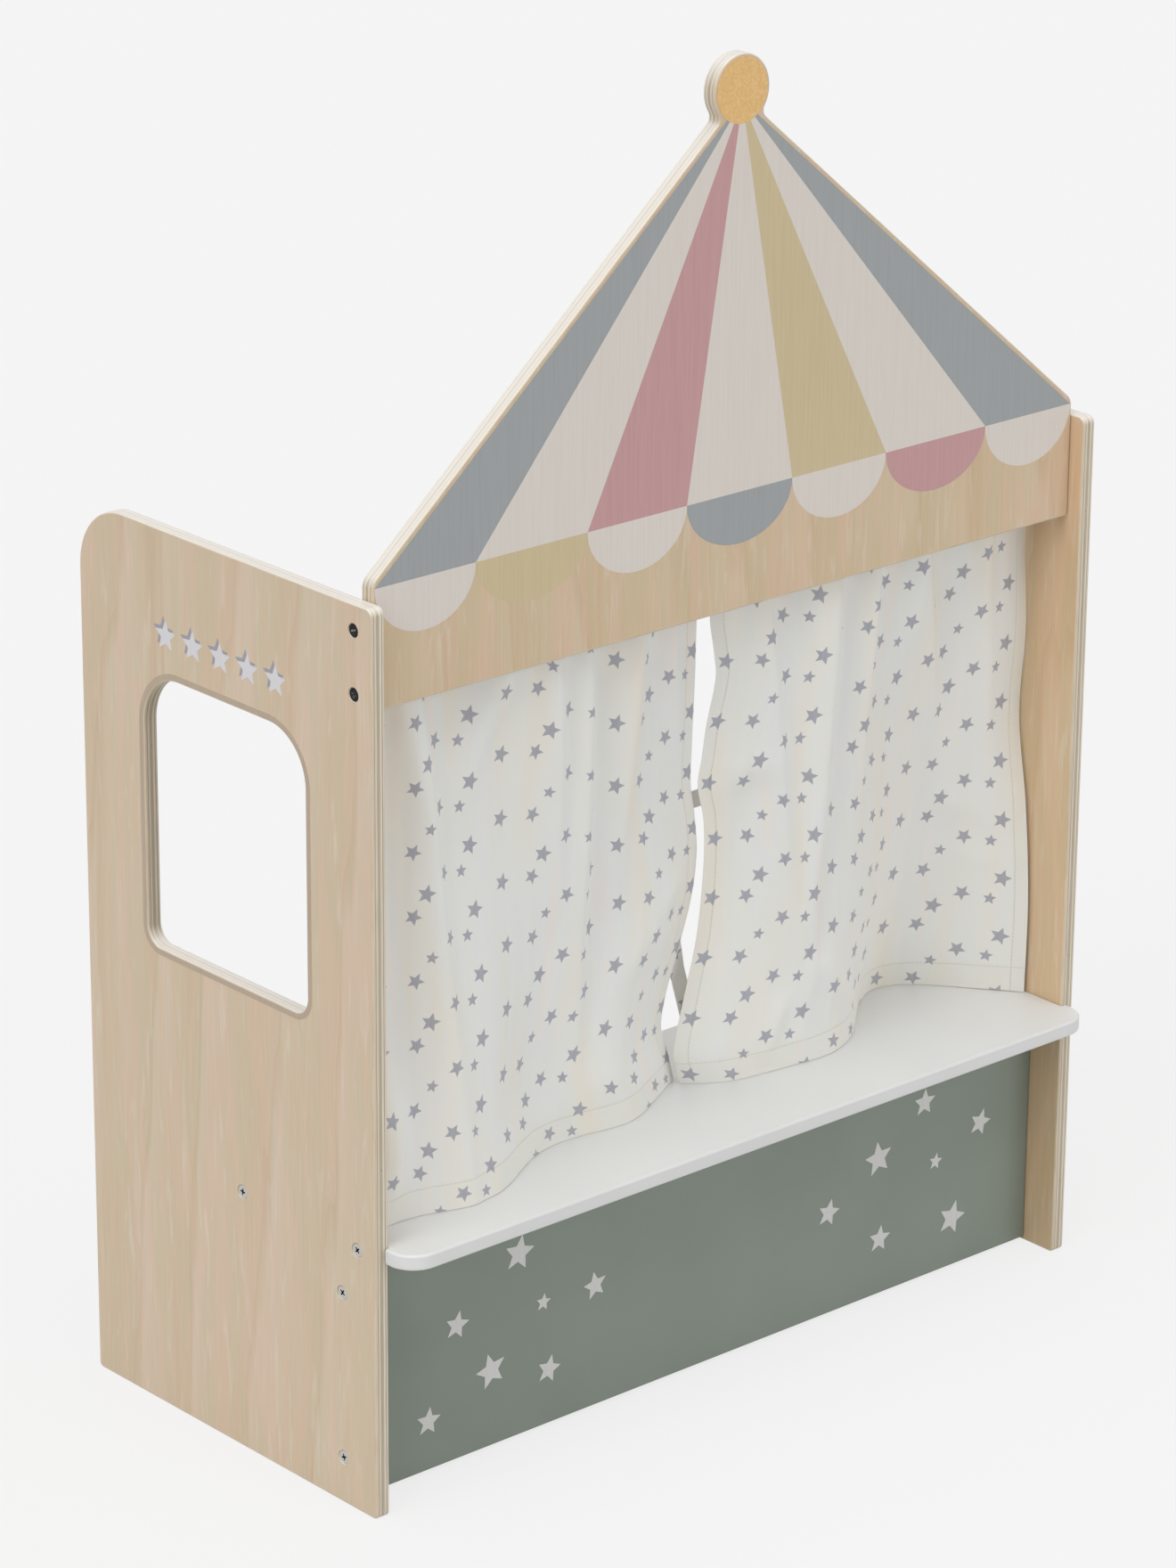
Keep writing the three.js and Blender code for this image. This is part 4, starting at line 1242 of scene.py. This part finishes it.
def make_camera():
    data = bpy.data.cameras.new("camera")
    data.sensor_width = sensor_size
    data.lens = camera_lens
    data.clip_end = 100
    camera = bpy.data.objects.new("camera", data)
    camera.location = camera_place
    camera.rotation_euler = [math.radians(a) for a in camera_turn_degrees]
    bpy.context.scene.collection.objects.link(camera)
    bpy.context.scene.camera = camera


def soft_sun(name, towards, strength, spread_degrees):
    data = bpy.data.lights.new(name, "SUN")
    data.energy = strength
    data.angle = math.radians(spread_degrees)
    light = bpy.data.objects.new(name, data)
    light.rotation_euler = Vector(towards).to_track_quat("-Z", "Y").to_euler()
    bpy.context.scene.collection.objects.link(light)


def seen_directly(tree):
    """1 for what the camera sees, straight or mirrored in a glossy surface."""
    ray = add_node(tree, "ShaderNodeLightPath")
    return add_node(tree, "ShaderNodeMath", {
        0: ray.outputs["Is Camera Ray"], 1: ray.outputs["Is Glossy Ray"]}, operation="MAXIMUM")


def studio_world(colour, strength):
    world = bpy.data.worlds.new("studio")
    world.use_nodes = True
    tree = world.node_tree
    tree.nodes.clear()
    seen = add_node(tree, "ShaderNodeBackground", {"Color": linear(colour), "Strength": 1.0})
    light = add_node(tree, "ShaderNodeBackground", {"Color": (1, 1, 1, 1), "Strength": strength})
    mixed = add_node(tree, "ShaderNodeMixShader", {0: seen_directly(tree), 1: light, 2: seen})
    add_node(tree, "ShaderNodeOutputWorld", {"Surface": mixed})
    bpy.context.scene.world = world


def make_floor(colour, shadow_share, bounce_colour):
    bpy.ops.mesh.primitive_plane_add(size=floor_width, location=(0, 0, 0))
    floor = settle(bpy.context.object, "studio_floor")
    # Pale seamless paper: an even tone with a faint shadow to the eye, and a soft grey bounce of light
    material, tree = new_material("studio_paper")
    even = add_node(tree, "ShaderNodeEmission", {"Color": linear(colour), "Strength": 1.0})
    lit = add_node(tree, "ShaderNodeBsdfDiffuse", {"Color": linear(colour)})
    seen = add_node(tree, "ShaderNodeMixShader", {0: shadow_share, 1: even, 2: lit})
    bounce = add_node(tree, "ShaderNodeBsdfDiffuse", {"Color": linear(bounce_colour)})
    mixed = add_node(tree, "ShaderNodeMixShader", {0: seen_directly(tree), 1: bounce, 2: seen})
    add_node(tree, "ShaderNodeOutputMaterial", {"Surface": mixed})
    floor.data.materials.append(material)


for side in ends:
    side_panel(side)
    window_band(side)
roof_panel()
stage_shelf()
base_panel()
curtain_rod()
roof_prints()
base_star_print()
star_row("window_star_shadow", shadow_ink, row_shadow, 0)
star_row("window_star_print", row_ink, 0, row_raised)
all_screws()
barrel_nuts()
for side in ends:
    cloth, cut_size = curtain(side)
    curtain_tie(side)

make_camera()
make_floor("#F5F5F5", 0.15, "#D4D4D4")
studio_world("#F5F5F5", 0.25)
soft_sun("front_softbox", (-0.3, 0.92, -0.22), 0.75, 45)
soft_sun("left_softbox", (0.8, 0.15, -0.5), 1.2, 45)
soft_sun("top_softbox", (0.05, 0.12, -1.0), 1.45, 60)
bpy.context.scene.view_settings.view_transform = "Standard"
